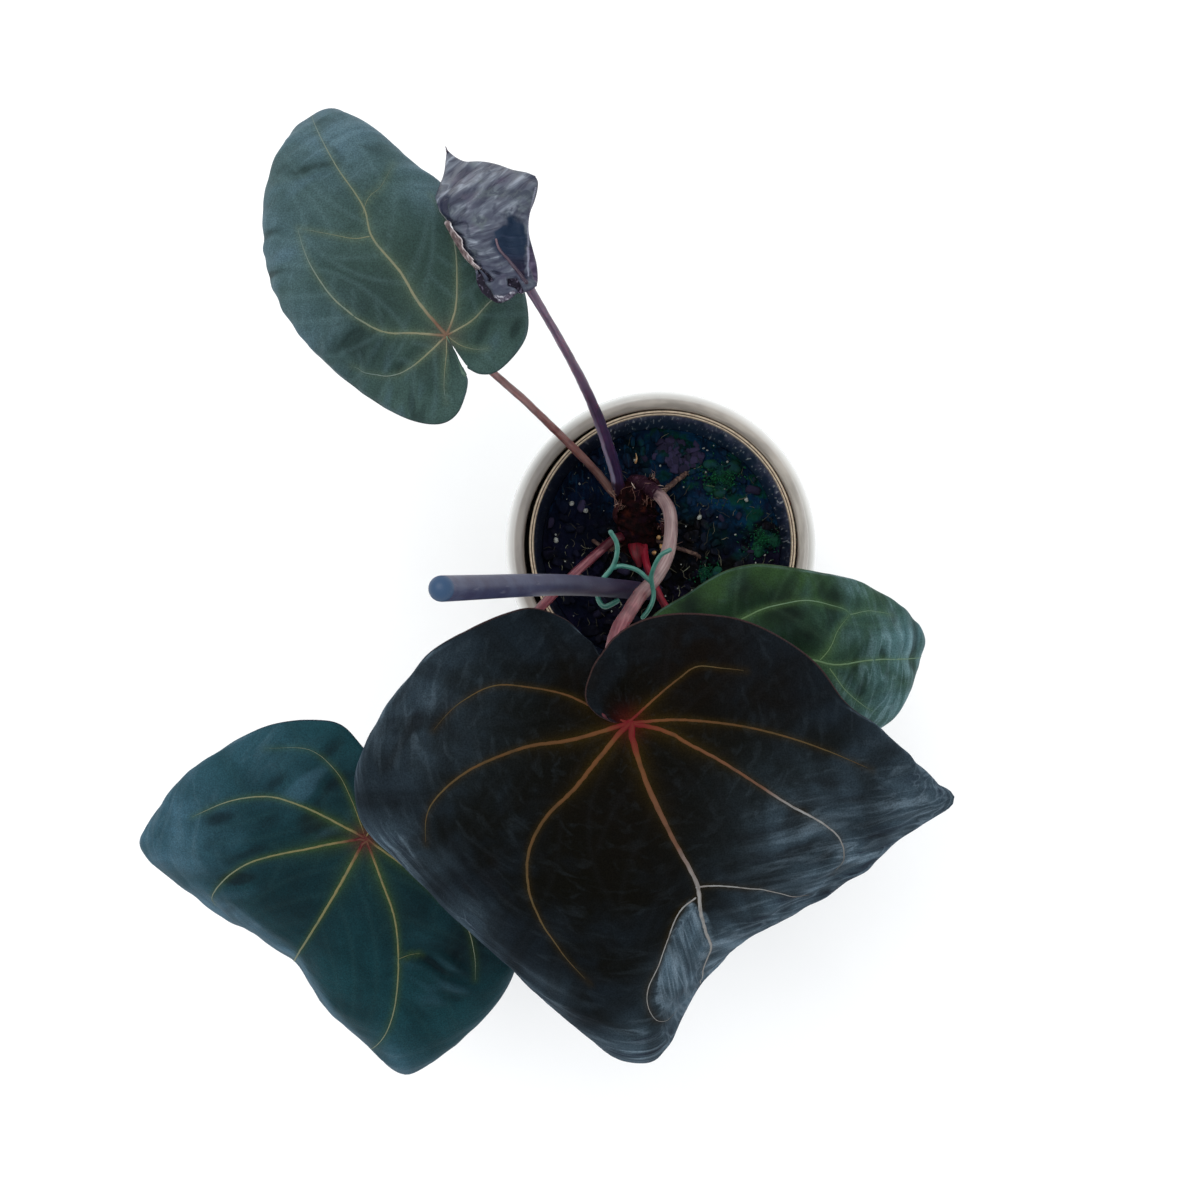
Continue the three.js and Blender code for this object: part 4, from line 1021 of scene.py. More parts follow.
def new_leaf_finish():
    f = Finish("blade_new", 0.5, 0.2)
    skin = f.vector("skin")
    beyond = f.split(skin)[1]
    lower, upper = (f.noise(size, 3, (0.3, 1, 0.3), f.rotated(skin, turn), 0.8)
                    for turn, size in ((-0.15, 2.6), (-0.8, 3.6)))
    crease = f.between(f.remap(beyond, 14, 30), lower, upper)
    crumple = f.noise(1.7, 4, warp=0.5)
    rim = f.value("rim")
    shaded_hollow = f.value("shaded_hollow")
    # Painted light and shade of the broad folds: darker in their troughs, lighter on their ridges.
    base = f.ramp(crease, [(0.32, 0x222536), (0.45, 0x3a3e4d), (0.57, 0x505662), (0.7, 0x7c838f)])
    base = f.over(base, 0x505a5a, f.noise(9, 3), 0.5, 0.66, 0.0, 0.5)
    base = f.over(base, 0x483c52, f.noise(12, 3), 0.55, 0.7, 0.0, 0.4)
    base = f.over(base, 0x24293b, f.noise(4.5, 3, warp=0.6), 0.53, 0.66, 0.0, 0.65)
    base = f.over(base, 0x323648, beyond, 0, 13, 0.5, 0.0)
    # Painted shade deep in the pocket, a little lighter on the crests of its folds.
    deep = f.over(0x1a0e24, 0x081e34, beyond, 2, 13)
    deep = f.over(deep, 0x222c46, crease, 0.5, 0.72, 0.0, 0.45)
    ragged = f.plus(f.value("pocket"), f.remap(f.noise(4.5, 2), 0.3, 0.7, -0.16, 0.16))
    base = f.over(base, deep, ragged, 0.3, 0.72, 0.0, 0.96)
    # Painted shade in the hollow near the tip.
    base = f.over(base, 0x1e2034, shaded_hollow, 0.2, 0.9, 0.0, 0.85)
    flank = f.over(0x2c223a, 0x4c4258, crease, 0.4, 0.6)
    base = f.over(base, flank, f.value("flank"), 0.3, 0.7, 0.0, 0.9)
    # Painted glints and shade on the crumpled frill.
    frill = f.ramp(crumple, [(0.36, 0x2c2436), (0.52, 0x625e6c), (0.66, 0xc4c4ce)])
    base = f.over(base, frill, f.value("frill"), 0.3, 0.7, 0.0, 0.9)
    # Painted shade on the rolled lobes, with painted glints.
    lobe = f.over(0x10091a, 0x544e60, crumple, 0.56, 0.66)
    base = f.over(base, lobe, f.value("lobe"), 0.3, 0.6, 0.0, 0.96)
    # Painted highlight along the crest.
    base = f.mix(f.times(f.value("highlit_crest"), 0.65), base, 0x9698aa)
    base = f.mix(f.times(rim, 0.75), base, 0x342a3c)
    back = f.ramp(f.noise(3, 3, warp=0.6), [(0.35, 0x4c3c3e), (0.52, 0x706060), (0.68, 0xa4999b)])
    back = f.mix(f.times(rim, 0.7), back, 0xd8d0d0)
    base = f.over(base, back, f.value("under"), 0.4, 0.8)
    base = f.mix(f.times(rim, f.remap(shaded_hollow, 0.05, 0.4)), base, 0xe2e2e6)
    rough = f.remap(f.math("MAXIMUM", f.value("pocket"), f.value("lobe")), 0.2, 0.6, 0.36, 0.7)
    return f.done(base, f.bump(crease, 0.8, f.bump(f.noise(0.5, 2), 0.05)), rough)


def make_new_leaf():
    grid, marks = creased_grid()
    joint = np.array(LEAVES["new"]["joint"], float)
    slot = "leaf_new_growth"
    flat = grid.reshape(-1, 3).copy()
    grid = roll_side(grid)
    normal = unit(np.cross(np.gradient(grid, axis=0), np.gradient(grid, axis=1)))
    under = grid - normal * NEW_BLADE_THICKNESS
    wide, deep = grid.shape[:2]
    upper = np.arange(wide * deep).reshape(wide, deep)
    faces = []
    for i in range(wide - 1):
        for j in range(deep - 1):
            a, b, c, d = upper[i, j], upper[i + 1, j], upper[i + 1, j + 1], upper[i, j + 1]
            faces.extend([(a, b, c, d), tuple(wide * deep + corner for corner in (a, d, c, b))])
    loop = [*upper[:, 0], *upper[-1, 1:], *upper[-2::-1, -1], *upper[0, -2:0:-1]]
    for a, b in zip(loop, loop[1:] + loop[:1]):
        faces.append((a, a + wide * deep, b + wide * deep, b))
    i, j = np.indices((wide, deep))
    marks["rim"] = np.exp(-np.minimum.reduce([i, wide - 1 - i, j, deep - 1 - j]) / 1.2)
    points = np.vstack([grid.reshape(-1, 3), under.reshape(-1, 3)]) + joint
    doubled = {name: np.tile(value.ravel(), 2) for name, value in marks.items()}
    doubled["under"] = np.repeat([0.0, 1.0], wide * deep)
    doubled["skin"] = np.tile(flat, (2, 1))
    place("blade_new", Shape(points, faces, **doubled), new_leaf_finish(), slot, "leaf_new")

    line = spaced([(*place, 0) for place in CREASED["vein"]], 80)
    tree = point_tree(grid.reshape(-1, 3) * (1, 1, 0))
    heights = grid[..., 2].ravel()
    line[:, 2] = [np.mean([heights[i] for _, i, _ in tree.find_n(point, 6)]) for point in line]
    line[:, 2] = np.convolve(np.pad(line[:, 2], 4, "edge"), np.ones(9) / 9, "valid")
    far = np.linspace(0, 1, len(line))
    line += joint + UP * (0.3 - 0.25 * far)[:, None]
    radii = np.stack([0.75 * (1 - 0.45 * far), 0.8 - 0.3 * far], axis=1)
    uneven = wobble(8, [(0.06, 0, 4), (0.05, 1, 7)])
    ribs = Shape()
    ribs.tube(line, radii, 12, np.broadcast_to(UP, line.shape), 3, uneven, ["skin", "along"])
    points, faces, found = tube(spaced(joint + CREASED["tip"], 12), np.linspace(0.5, 0.12, 13), 8, ends=2)
    ribs.add(points, faces, skin=found["skin"], along=found["along"] * 0.1 + 0.2)
    f = Finish("veins_new", 0.4, 0.4)
    skin = f.vector("skin")
    streak = f.noise(0.7, 2, (1, 1, 0.1), skin)
    base = f.ramp(f.value("along"), [(0.0, 0x2a1b2c), (0.3, 0x322232), (0.7, 0x3e2e3c), (1.0, 0x624c56)])
    base = f.over(base, 0x24182a, streak, 0.4, 0.7, 0.0, 0.5)
    base = f.over(base, 0x625666, f.size(f.split(skin)[0]), 0.45, 0.7, 0.0, 0.5)
    place("veins_new", ribs, f.done(base, f.bump(streak, 0.06)), slot)


# Petioles

# Each has its slot and its main, light and dark colour near the crown and far from it. It turns from one to
# the other between two shares of its length. Foot is the colour of its foot and how far up that goes, edge
# the colour along both flanks, its share and how far up it goes. The edge is painted shade where the stalk
# turns away, and on the new leaf's stalk a painted highlight; the dark colour is also painted as shade down
# one flank.
PETIOLE_LOOKS = {
    "upper_left": ("petiole_mauve", {
        "near": (0x6c4c48, 0x8a6e68, 0x4a2e30),
        "far": (0x644646, 0x826666, 0x40262a), "turns": (0.3, 0.6),
        "foot": 0x543434, "foot_end": 0.04, "edge": 0x361c24, "painted_flank_share": 0.65, "edge_end": 2.0}),
    "new": ("petiole_purple", {
        "near": (0x261836, 0x382a4e, 0x1c102a),
        "far": (0x42324a, 0x5c4c62, 0x2c2038), "turns": (0.35, 0.85),
        "foot": 0x221022, "foot_end": 0.08, "edge": 0x8a869e, "painted_flank_share": 0.9, "edge_end": 0.2}),
    "centre": ("petiole_pink", {
        "near": (0x7a6262, 0x988482, 0x4e343a),
        "far": (0x68303a, 0x8a565c, 0x421620), "turns": (0.38, 0.62),
        "foot": 0x321c26, "foot_end": 0.1, "edge": 0x462c32, "painted_flank_share": 0.35, "edge_end": 2.0}),
    "right": ("petiole_red", {
        "near": (0x701426, 0x88323e, 0x480a16),
        "far": (0x681e2c, 0x803c42, 0x420e18), "turns": (0.4, 0.8),
        "foot": 0x700c20, "foot_end": 0.2, "edge": 0x400a16, "painted_flank_share": 0.4, "edge_end": 2.0}),
    "lower_left": ("petiole_rose", {
        "near": (0x602836, 0x8e5c62, 0x3e1420),
        "far": (0x703a44, 0x8e5c5e, 0x421a24), "turns": (0.3, 0.7),
        "foot": 0x3c101a, "foot_end": 0.12, "edge": 0x3c141e, "painted_flank_share": 0.4, "edge_end": 2.0}),
}
# A petiole swells at its foot and its top by these shares of its radius. The centre one is slim at the foot.
PETIOLE = {"steps": 150, "sides": 24, "foot": 0.2, "slim_foot": -0.12, "top": 0.16}


def petiole_finish(name, look):
    """Lengthwise streaks, painted shade down one flank, blotches, pale specks, and painted shade along both
    flanks (a painted highlight on the new leaf's stalk). The foot has a colour of its own.
    """
    f = Finish(name, 0.38, 0.4, Subsurface_Weight=0.05)
    skin = f.vector("skin")
    along = f.value("along")
    across = f.value("side")
    turns = f.plus(along, f.remap(f.noise(7, 2, (1, 1, 0.4), skin), 0.2, 0.8, -0.08, 0.08))
    base, light, dark_and_shade = (f.over(a, b, turns, *look["turns"]) for a, b in zip(look["near"], look["far"]))
    streak = f.noise(0.8, 3, (1, 1, 0.05), skin)
    tone = f.over(base, light, streak, 0.35, 0.7)
    # Painted shade down one flank.
    tone = f.over(tone, dark_and_shade, across, -1.0, -0.35, 0.7, 0.0)
    tone = f.over(tone, dark_and_shade, f.noise(9, 2, source=skin), 0.45, 0.75, 0.0, 0.6)
    tone = f.over(tone, light, f.noise(0.5, 2, (1, 1, 0.1), skin), 0.55, 0.7, 0.0, 0.3)
    # Painted shade along both flanks, on the new leaf's stalk a painted highlight.
    flank = f.remap(f.size(across), 0.78, 0.94, 0.0, look["painted_flank_share"])
    flank = f.times(flank, f.remap(along, look["edge_end"], look["edge_end"] + 0.3, 1.0, 0.1))
    tone = f.mix(flank, tone, look["edge"])
    edge = f.plus(along, f.remap(f.noise(1.6, 2, (1, 1, 0.3), skin), 0.2, 0.8, -0.02, 0.02))
    tone = f.over(tone, look["foot"], edge, look["foot_end"], look["foot_end"] + 0.03, 1.0, 0.0)
    tone = f.over(tone, light, f.cells(1.7, "F1", (1, 1, 0.5), skin), 0.1, 0.16, 0.3, 0.0)
    return f.done(tone, f.bump(streak, 0.14))


def make_petioles():
    for number, (name, leaf) in enumerate(LEAVES.items()):
        slot, look = PETIOLE_LOOKS[name]
        path = spaced(leaf["path"], PETIOLE["steps"])
        share = np.linspace(0, 1, len(path))
        foot = PETIOLE["slim_foot"] if name == "centre" else PETIOLE["foot"]
        width = 1 + foot * np.exp(-share * 14) + PETIOLE["top"] * np.exp(-(1 - share) * 18)
        width *= leaf["petiole"] * (1 - (1 - leaf["thin"]) * smoothstep(share, 0.05, 0.95))
        uneven = wobble(number, [(0.02, 2, 31), (0.02, 3, 17), (0.012, 1, 7), (0.01, 0, 11)])

        def grooved(angle, length):
            return uneven(angle, length) - 0.12 * bell(angle - math.pi / 2, 0.45)

        points, faces, found = tube(path, width, PETIOLE["sides"], None, 5, grooved)
        side = found["skin"][:, 0] / np.interp(found["along"], share, width)
        shape = Shape(points, faces, **found, side=side)
        place(f"stalk_{name}", shape, petiole_finish(f"stalk_{name}", look), slot, f"petiole_{name}")


# Pots

# Rows of radius and height. The grow pot stands a little out of the middle, and its drainage holes are
# drilled from one height to another.
COVER_POT = {
    "outside": [(47, 0.9), (47.6, 0.15), (49.6, 0.1), (51.6, 0.7), (53, 2.2), (54.2, 7), (59, 30), (63, 54),
                (67, 82), (69.3, 106), (69.9, 117), (69.7, 123), (68.6, 126.4), (66.2, 128)],
    "inside": [(66.2, 128), (64.6, 127.7), (63, 127), (61.9, 125.8), (61.5, 124), (61.5, 110), (58.8, 74),
               (55, 40), (50.5, 14), (48.4, 8.4), (45, 6.2)],
}
NURSERY = {
    "x": 0.7, "y": 1.0, "rim": 60.0, "foot": 6.3, "floor": 7.9,
    "wall": [(42.7, 6.3), (43.5, 7.5), (57.4, 112.1), (59.3, 113.2), (59.9, 122.8)],
    "lip": [(60, 123.8), (59.8, 124.7), (59.4, 125), (59.05, 124.7), (58.9, 123.9), (58.7, 123.9),
            (58.55, 124.6), (58.3, 124.8), (58.05, 124.5), (57.9, 123.5)],
    "inner": [(56.6, 114.6), (55.8, 112.8), (41.9, 8.9), (40.5, 7.9)],
    "holes": 6, "hole_radius": 4.0, "hole_ring": 30.0, "drilled": (2.0, 12.0),
}
POT_SIDES = 192


def worked(shape, kind, smoothing=0, **settings):
    """A shape after one modifier, and after some rounds of smoothing."""
    piece = raw_piece("rough", shape)
    work = piece.modifiers.new("work", kind)
    for name, value in settings.items():
        setattr(work, name, value)
    if smoothing:
        piece.modifiers.new("smooth", "SMOOTH").iterations = smoothing
    done = bpy.data.meshes.new_from_object(piece.evaluated_get(bpy.context.evaluated_depsgraph_get()))
    result = Shape([v.co[:] for v in done.vertices], [tuple(face.vertices) for face in done.polygons])
    remove(piece)
    bpy.data.meshes.remove(done)
    return result


def drilled(pot):
    """The pot without its drainage holes."""
    n = NURSERY
    low, high = n["drilled"]
    drills = Shape()
    for turn in np.arange(n["holes"]) * 2 * math.pi / n["holes"]:
        x, y = n["x"] + n["hole_ring"] * math.cos(turn), n["y"] + n["hole_ring"] * math.sin(turn)
        radius = n["hole_radius"]
        drills.add(*lathe([(0, low), (radius, low), (radius, high), (0, high)], 28, x, y))
    piece = raw_piece("drills", drills)
    pot = worked(pot, "BOOLEAN", operation="DIFFERENCE", solver="EXACT", object=piece)
    remove(piece)
    return pot


def make_cover_pot():
    outer, inner = smooth_line(COVER_POT["outside"], 4), smooth_line(COVER_POT["inside"], 4)[1:]
    points, faces = lathe(np.vstack([(0, 0.9), outer, inner, (0, 6)]), POT_SIDES)
    lip_shade = np.r_[smoothstep(outer[:, 1], 126.0, 129.2), smoothstep(-inner[:, 0], -67.3, -65.0)]
    f = Finish("glaze", 0.16, 0.5, Coat_Weight=0.25, Coat_Roughness=0.06)
    x, _, z = f.split(f.object_mm)
    base = f.over(0xe1e1de, 0xdcdcd9, f.noise(22, 4), 0.35, 0.7)
    # Painted shade and reflection: the inner slope of the lip turns grey, darker towards the left.
    lip_shade_grey = f.over(0x8a847d, 0xa8a198, f.noise(5, 3, (0.25, 0.25, 2.2)), 0.35, 0.65)
    lip_shade_grey = f.over(lip_shade_grey, 0x6c6664, x, -60, 20, 0.4, 0.0)
    base = f.mix(f.value("lip_shade"), base, lip_shade_grey)
    base = f.over(base, 0x968c7e, f.cells(3.4, "F1"), 0.05, 0.085, 0.35, 0.0)
    bare = f.remap(z, 0.9, 2.0, 1.0, 0.0)
    clay = f.over(0xcebea8, 0xb8a68e, f.noise(0.8, 4), 0.3, 0.7)
    base = f.mix(bare, base, clay)
    wave = f.bump(f.noise(1.4, 3), 0.03, f.bump(f.noise(14, 3, (1, 1, 2)), 0.35))
    shape = Shape(points, faces, lip_shade=np.r_[0, np.repeat(lip_shade, POT_SIDES), 1])
    place("cover_pot", shape, f.done(base, wave, f.remap(bare, 0.0, 1.0, 0.14, 0.8)), "glaze", "outer_pot")


def make_nursery_pot():
    n = NURSERY
    profile = [(0, n["foot"]), *n["wall"], *smooth_line(n["lip"], 3), *n["inner"], (0, n["floor"])]
    f = Finish("nursery_plastic", 0.42, 0.4, Subsurface_Weight=0.05)
    centred = f.node("ShaderNodeVectorMath", {0: f.scaled(f.object_mm, (1, 1, 0)), 1: (n["x"], n["y"], 0)},
                     operation="SUBTRACT").outputs[0]
    radius = f.node("ShaderNodeVectorMath", {0: centred}, operation="LENGTH").outputs["Value"]
    streak = f.noise(1.6, 4, (1, 1, 0.12))
    cream = f.over(0xc4b29a, 0xac9884, streak, 0.35, 0.7)
    x, y, z = f.split(f.object_mm)
    side = f.math("MULTIPLY_ADD", x, 0.5, y)
    beyond = f.remap(side, 15, 60)
    # Painted light and shade on the inner wall: lit on the far side, in shade on the near side, with pale
    # film streaks.
    wall_light_and_shade = f.mix(beyond, 0x0c1122, 0x3e445c)
    film_and_shade = f.over(wall_light_and_shade, f.mix(beyond, 0x182036, 0x686a7c), streak, 0.42, 0.66, 0.0, 0.8)
    # Painted shade: dark low on the wall, deep in the pot.
    edge = f.plus(z, f.remap(f.noise(3, 4, (1, 1, 0.25)), 0.25, 0.75, -5, 5))
    film_and_shade = f.over(film_and_shade, f.over(0x0a1020, 0x0c243a, side, 30, 60), edge, 112, 121, 0.95, 0.0)
    # Pale drip streaks, painted stronger on the lit far side.
    drip = f.remap(f.noise(1.1, 3, (1, 1, 0.06)), 0.6, 0.68, 0.0, 0.9)
    film_and_shade = f.mix(f.times(drip, f.remap(beyond, 0.0, 0.7, 0.15, 0.9)), film_and_shade, 0xaaaeb2)
    inside = f.remap(radius, n["rim"] - 2.3, n["rim"] - 2.0, 1.0, 0.0)
    # Painted shade in the groove on the lip.
    groove = f.less(1.0, f.remap(f.size(f.less(radius, n["rim"] - 1.2)), 0.1, 0.3))
    base = f.mix(f.times(groove, 0.85), cream, 0x3e302c)
    base = f.mix(f.times(inside, f.remap(z, 20, 30)), base, film_and_shade)
    pot = drilled(Shape(*lathe(profile, POT_SIDES, n["x"], n["y"])))
    place("grow_pot", pot, f.done(base, f.bump(streak, 0.1)), "nursery_plastic", "nursery_pot")


# Stake and clip

STAKE = {"radius": 4.0, "steps": 220,
         "path": [(3.4, -20.3, 87), (-2, -20.5, 105), (-39, -18.5, 227), (-75.3, -20.8, 349)]}


def make_stake():
    path = spaced(STAKE["path"], STAKE["steps"])[:-1]
    f = Finish("stake_coating", 0.45, 0.35)
    skin = f.vector("skin")
    base = f.over(0x2e304c, 0x3e435c, f.noise(16, 3, (0.6, 0.6, 1), skin), 0.35, 0.68)
    # Painted shade: darker towards its foot, deep in the pot under the leaves.
    base = f.over(base, 0x282138, f.value("along"), 0.3, 0.75, 0.85, 0.0)
    base = f.over(base, 0x26203a, f.noise(2.2, 4, (1, 1, 0.4), skin), 0.45, 0.75, 0.0, 0.5)
    base = f.over(base, 0x707280, f.noise(1.2, 5, (1, 1, 0.12), skin), 0.62, 0.74, 0.0, 0.4)
    base = f.over(base, 0x223e5c, f.value("along"), 0.9992, 0.9998)
    rod = Shape()
    rod.tube(path, [STAKE["radius"]] * len(path), 40, ends=6, keep=["skin", "along"])
    place("stake_rod", rod, f.done(base, f.bump(f.noise(0.7, 3, (1, 1, 0.3), skin), 0.08)),
          "stake_coating", "stake")


# Soil and what lies on it

SOIL = {"x": 0.7, "y": 1.0, "foot": 8.3, "rings": 104, "spokes": 330}
# Places and radii of the larger grains, of the beads and of the moss.
PERLITE = [(-40.5, 20.5, 1.2), (-34, 17, 1.3), (-47.5, 3.5, 1.4), (-27, -21, 1.3), (18.5, 14, 1.2),
           (24, -20, 1.1), (40, 22, 1.1), (8, 46, 1.1)]
BEADS = [(-0.5, 4.5, 1.15), (-2.5, -2.5, 1.15), (0.8, 0.4, 1.0)]
MOSS = [(28, 32, 11), (47, 3.5, 8), (22, -12, 6)]
# How many of each small thing lie on the soil.
LITTER = {"seed": 7, "chips": 240, "far_chips": 90, "fibres": 260, "grains": 95}
# Middle of the crown, seen from above.
CROWN = (-9.5, 10)


def soil_height(x, y):
    """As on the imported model: a slope with soft lumps, and a mound round the crown."""
    mound = 3 * np.exp(-((x - CROWN[0]) ** 2 + (y - CROWN[1]) ** 2) / 300)
    lumps = 1.2 * np.sin(x / 9 + 1.3) * np.cos(y / 8) + 0.8 * np.sin(x / 4.1 + y / 5.3)
    return 106 + 0.02 * x - 0.075 * y + lumps + mound


def pot_inside(z):
    """The inner radius of the grow pot's wall, less a hair."""
    (wide, high), (narrow, low) = (55.8, 113.0), (41.9, 7.9)
    return narrow + (wide - narrow) * (z - low) / (high - low) - 0.3


def crumbs(x, y):
    """Height of small bark crumbs packed beside each other."""
    near, places = noise.voronoi(Vector((x / 4.6, y / 4.6, 0.0)))
    coarse = noise.cell(places[0] * 7.7) * 1.5 + 0.5 * min(near[1] - near[0], 0.5)
    near, places = noise.voronoi(Vector((x / 1.9, y / 1.9, 3.0)))
    fine = noise.cell(places[0] * 5.3) * 0.7 + 0.4 * min(near[1] - near[0], 0.5)
    return coarse + fine + 0.35 * ripple(x / 0.9, y / 0.9, 8.0) - 1.0


def far_side_tint(f, base):
    """Bluer beyond the crown, violet in patches, green to the right."""
    x, y, _ = f.split(f.object_mm)
    beyond = f.plus(y, f.remap(f.noise(19, 2), 0.3, 0.7, -14, 14))
    base = f.over(base, 0x091e36, beyond, 2, 34, 0.0, 0.85)
    base = f.over(base, 0x0c1124, x, -38, -14, 0.7, 0.0)
    base = f.over(base, 0x161428, f.noise(15, 3, warp=0.4), 0.52, 0.64, 0.0, 0.6)
    side = f.plus(x, y)
    upper = f.remap(beyond, -4, 12)
    teal = f.times(f.remap(f.noise(13, 2), 0.4, 0.58), f.remap(side, 22, 48, 0.0, 0.85))
    base = f.mix(f.times(teal, upper), base, 0x082c46)
    green = f.times(f.remap(f.noise(9, 3), 0.46, 0.6), f.remap(side, 20, 44, 0.0, 0.8))
    base = f.mix(f.times(green, upper), base, 0x0a3222)
    base = f.over(base, 0x060a13, f.noise(12, 4, warp=0.4), 0.5, 0.62, 0.0, 0.7)
    strokes = f.remap(f.noise(1.5, 3, (1, 0.16, 1), warp=0.5), 0.52, 0.68, 0.0, 0.5)
    return f.mix(f.times(strokes, f.remap(beyond, 0, 36)), base, 0x143852)


def make_soil():
    """One closed plug: a crumbly top, the pot's wall shape round it and a flat underside."""
    middle = np.array([SOIL["x"], SOIL["y"]])
    turn = np.linspace(0, 2 * math.pi, SOIL["spokes"], endpoint=False)
    way = np.stack([np.cos(turn), np.sin(turn)])
    rim = np.full(turn.shape, 54.6)
    for _ in range(4):
        rim = pot_inside(soil_height(*(middle[:, None] + rim * way)))
    share = np.linspace(0, 1, SOIL["rings"] + 1)[1:, None]
    x, y = middle[0] + share * rim * way[0], middle[1] + share * rim * way[1]
    rough = np.array([[crumbs(a, b) for a, b in zip(*row)] for row in zip(x, y)])
    z = soil_height(x, y) + rough * (1 - smoothstep(share, 0.97, 1.0))
    rings = [np.stack([x, y, z], axis=-1)]
    for share in np.linspace(1, 0, 9)[1:]:
        level = SOIL["foot"] + share * (soil_height(x[-1], y[-1]) - SOIL["foot"])
        rings.append(np.stack([*(middle[:, None] + pot_inside(level) * way), level], axis=-1)[None])
    rings = np.concatenate(rings)
    points = np.vstack([[*middle, soil_height(*middle) + crumbs(*middle)], rings.reshape(-1, 3),
                        [*middle, SOIL["foot"]]])
    faces = [face[::-1] for face in ring_faces(len(rings), SOIL["spokes"])]
    f = Finish("soil", 0.95, 0.02)
    base = far_side_tint(f, f.over(0x060606, 0x0d0d0f, f.noise(3.2, 4), 0.38, 0.66))
    base = f.over(base, 0x1a1a1f, f.noise(1.1, 4), 0.6, 0.75, 0.0, 0.5)
    base = f.over(base, 0x4c4436, f.noise(0.7, 3), 0.7, 0.76, 0.0, 0.5)
    finish = f.done(base, f.bump(f.noise(0.6, 4), 0.35))
    place("soil_plug", Shape(points, faces), finish, "soil", "substrate")


def turned(draw, flat=1.0):
    """A random turn, as a matrix. Less than 1 keeps the part's own upward direction nearly upward."""
    a, b, c = draw.uniform(0, 6.28), draw.uniform(-1, 1) * 1.57 * flat, draw.uniform(-1, 1) * 1.57 * flat
    ca, sa, cb, sb, cc, sc = math.cos(a), math.sin(a), math.cos(b), math.sin(b), math.cos(c), math.sin(c)
    about_z = np.array([[ca, -sa, 0], [sa, ca, 0], [0, 0, 1]])
    about_x = np.array([[1, 0, 0], [0, cb, -sb], [0, sb, cb]])
    about_y = np.array([[cc, 0, sc], [0, 1, 0], [-sc, 0, cc]])
    return about_z @ about_x @ about_y


def pebble(draw, centre, size, flat=1.0, block=0.7, rings=7, sides=11, rough=0.12):
    """A closed, uneven lump. block below 1 squares it off."""
    rise = np.linspace(-math.pi / 2, math.pi / 2, rings + 2)[:, None]
    turn = np.linspace(0, 2 * math.pi, sides, endpoint=False)
    grid = np.stack([np.cos(rise) * np.cos(turn), np.cos(rise) * np.sin(turn), np.sin(rise) + 0 * turn], -1)
    points = np.vstack([grid[0, :1], grid[1:-1].reshape(-1, 3), grid[-1, :1]])
    lumps = 1.0
    for _ in range(4):
        way = np.array([draw.uniform(-4, 4) for _ in range(3)])
        lumps = lumps + rough * np.sin(points @ way + draw.uniform(0, 6.28))
    points = np.sign(points) * np.abs(points) ** block * np.reshape(lumps, (-1, 1)) * np.array(size)
    return points @ turned(draw, flat).T + np.array(centre), ring_faces(rings, sides)


def on_soil(draw, reach):
    """A random place on the soil."""
    while True:
        x, y = draw.uniform(-reach, reach), draw.uniform(-reach, reach)
        if math.hypot(x, y) < reach:
            x, y = x + SOIL["x"], y + SOIL["y"]
            return x, y, soil_height(x, y)


def spot_round(draw, x, y, wide, deep, far):
    """A random place round another one, in an oval."""
    turn, far = draw.uniform(0, 6.28), far()
    return x + wide * far * math.cos(turn), y + deep * far * math.sin(turn)


def make_chips(draw):
    chips = Shape()
    for _ in range(LITTER["chips"]):
        x, y, z = on_soil(draw, 52.5)
        size = draw.uniform(1.0, 3.4) * draw.uniform(0.7, 1.3)
        form = (size, size * 0.6, size * 0.3)
        chips.add(*pebble(draw, (x, y, z + 0.1 * size), form, 0.35, 0.6), tone=draw.random())
    for _ in range(LITTER["far_chips"]):
        x, y = spot_round(draw, 10.0, 43.0, 11.0, 7.0, lambda: math.sqrt(draw.random()))
        size = draw.uniform(0.9, 2.6)
        spot = (x, y, soil_height(x, y) + 0.5 + 0.5 * draw.random())
        form = (size, size * draw.uniform(0.5, 0.9), size * 0.22)
        chips.add(*pebble(draw, spot, form, 0.16, 0.6, rough=0.16), tone=draw.uniform(0.86, 1.0))
    f = Finish("bark_chips", 0.9, 0.03)
    tone = f.value("tone")
    base = f.ramp(tone, [(0.0, 0x080809), (0.45, 0x141010), (0.7, 0x0f141c), (0.86, 0x181622),
                         (1.0, 0x302c44)])
    base = f.over(base, 0x22212a, f.noise(1.4, 4, (1, 0.35, 1)), 0.45, 0.7, 0.0, 0.5)
    base = f.over(base, far_side_tint(f, base), tone, 0.86, 0.92, 0.75, 0.0)
    place("bark_chips", chips, f.done(base, f.bump(f.noise(0.8, 4, (1, 0.3, 1)), 0.3)), "soil")


def make_soil_fibres(draw):
    fibres = Shape()
    for number in range(LITTER["fibres"]):
        x, y, _ = on_soil(draw, 54)
        length = draw.uniform(1.2, 7.5) * (1.4 if number % 9 == 0 else 1)
        heading = draw.gauss(math.pi / 2, 0.7)
        path = []
        lift = draw.uniform(0.2, 0.9)
        for k in range(-2, 3):
            heading += draw.gauss(0, 0.22)
            px, py = x + k * length / 4 * math.cos(heading), y + k * length / 4 * math.sin(heading)
            path.append((px, py, soil_height(px, py) + lift + 0.25 * draw.random()))
        radii = draw.uniform(0.08, 0.17) * np.array([1, 1, 1, 0.8, 0.4])
        fibres.tube(path, radii, 5, ends=1, tone=draw.random())
    f = Finish("soil_fibres", 0.75, 0.2)
    base = f.ramp(f.value("tone"), [(0.0, 0x1a1a1a), (0.5, 0x3a382c), (0.8, 0x605e4e), (1.0, 0x8a8e78)])
    base = f.over(base, 0x282620, f.noise(0.7, 2), 0.4, 0.7, 0.0, 0.6)
    place("soil_fibres", fibres, f.done(base, f.bump(f.noise(0.3, 2), 0.05)), "root")


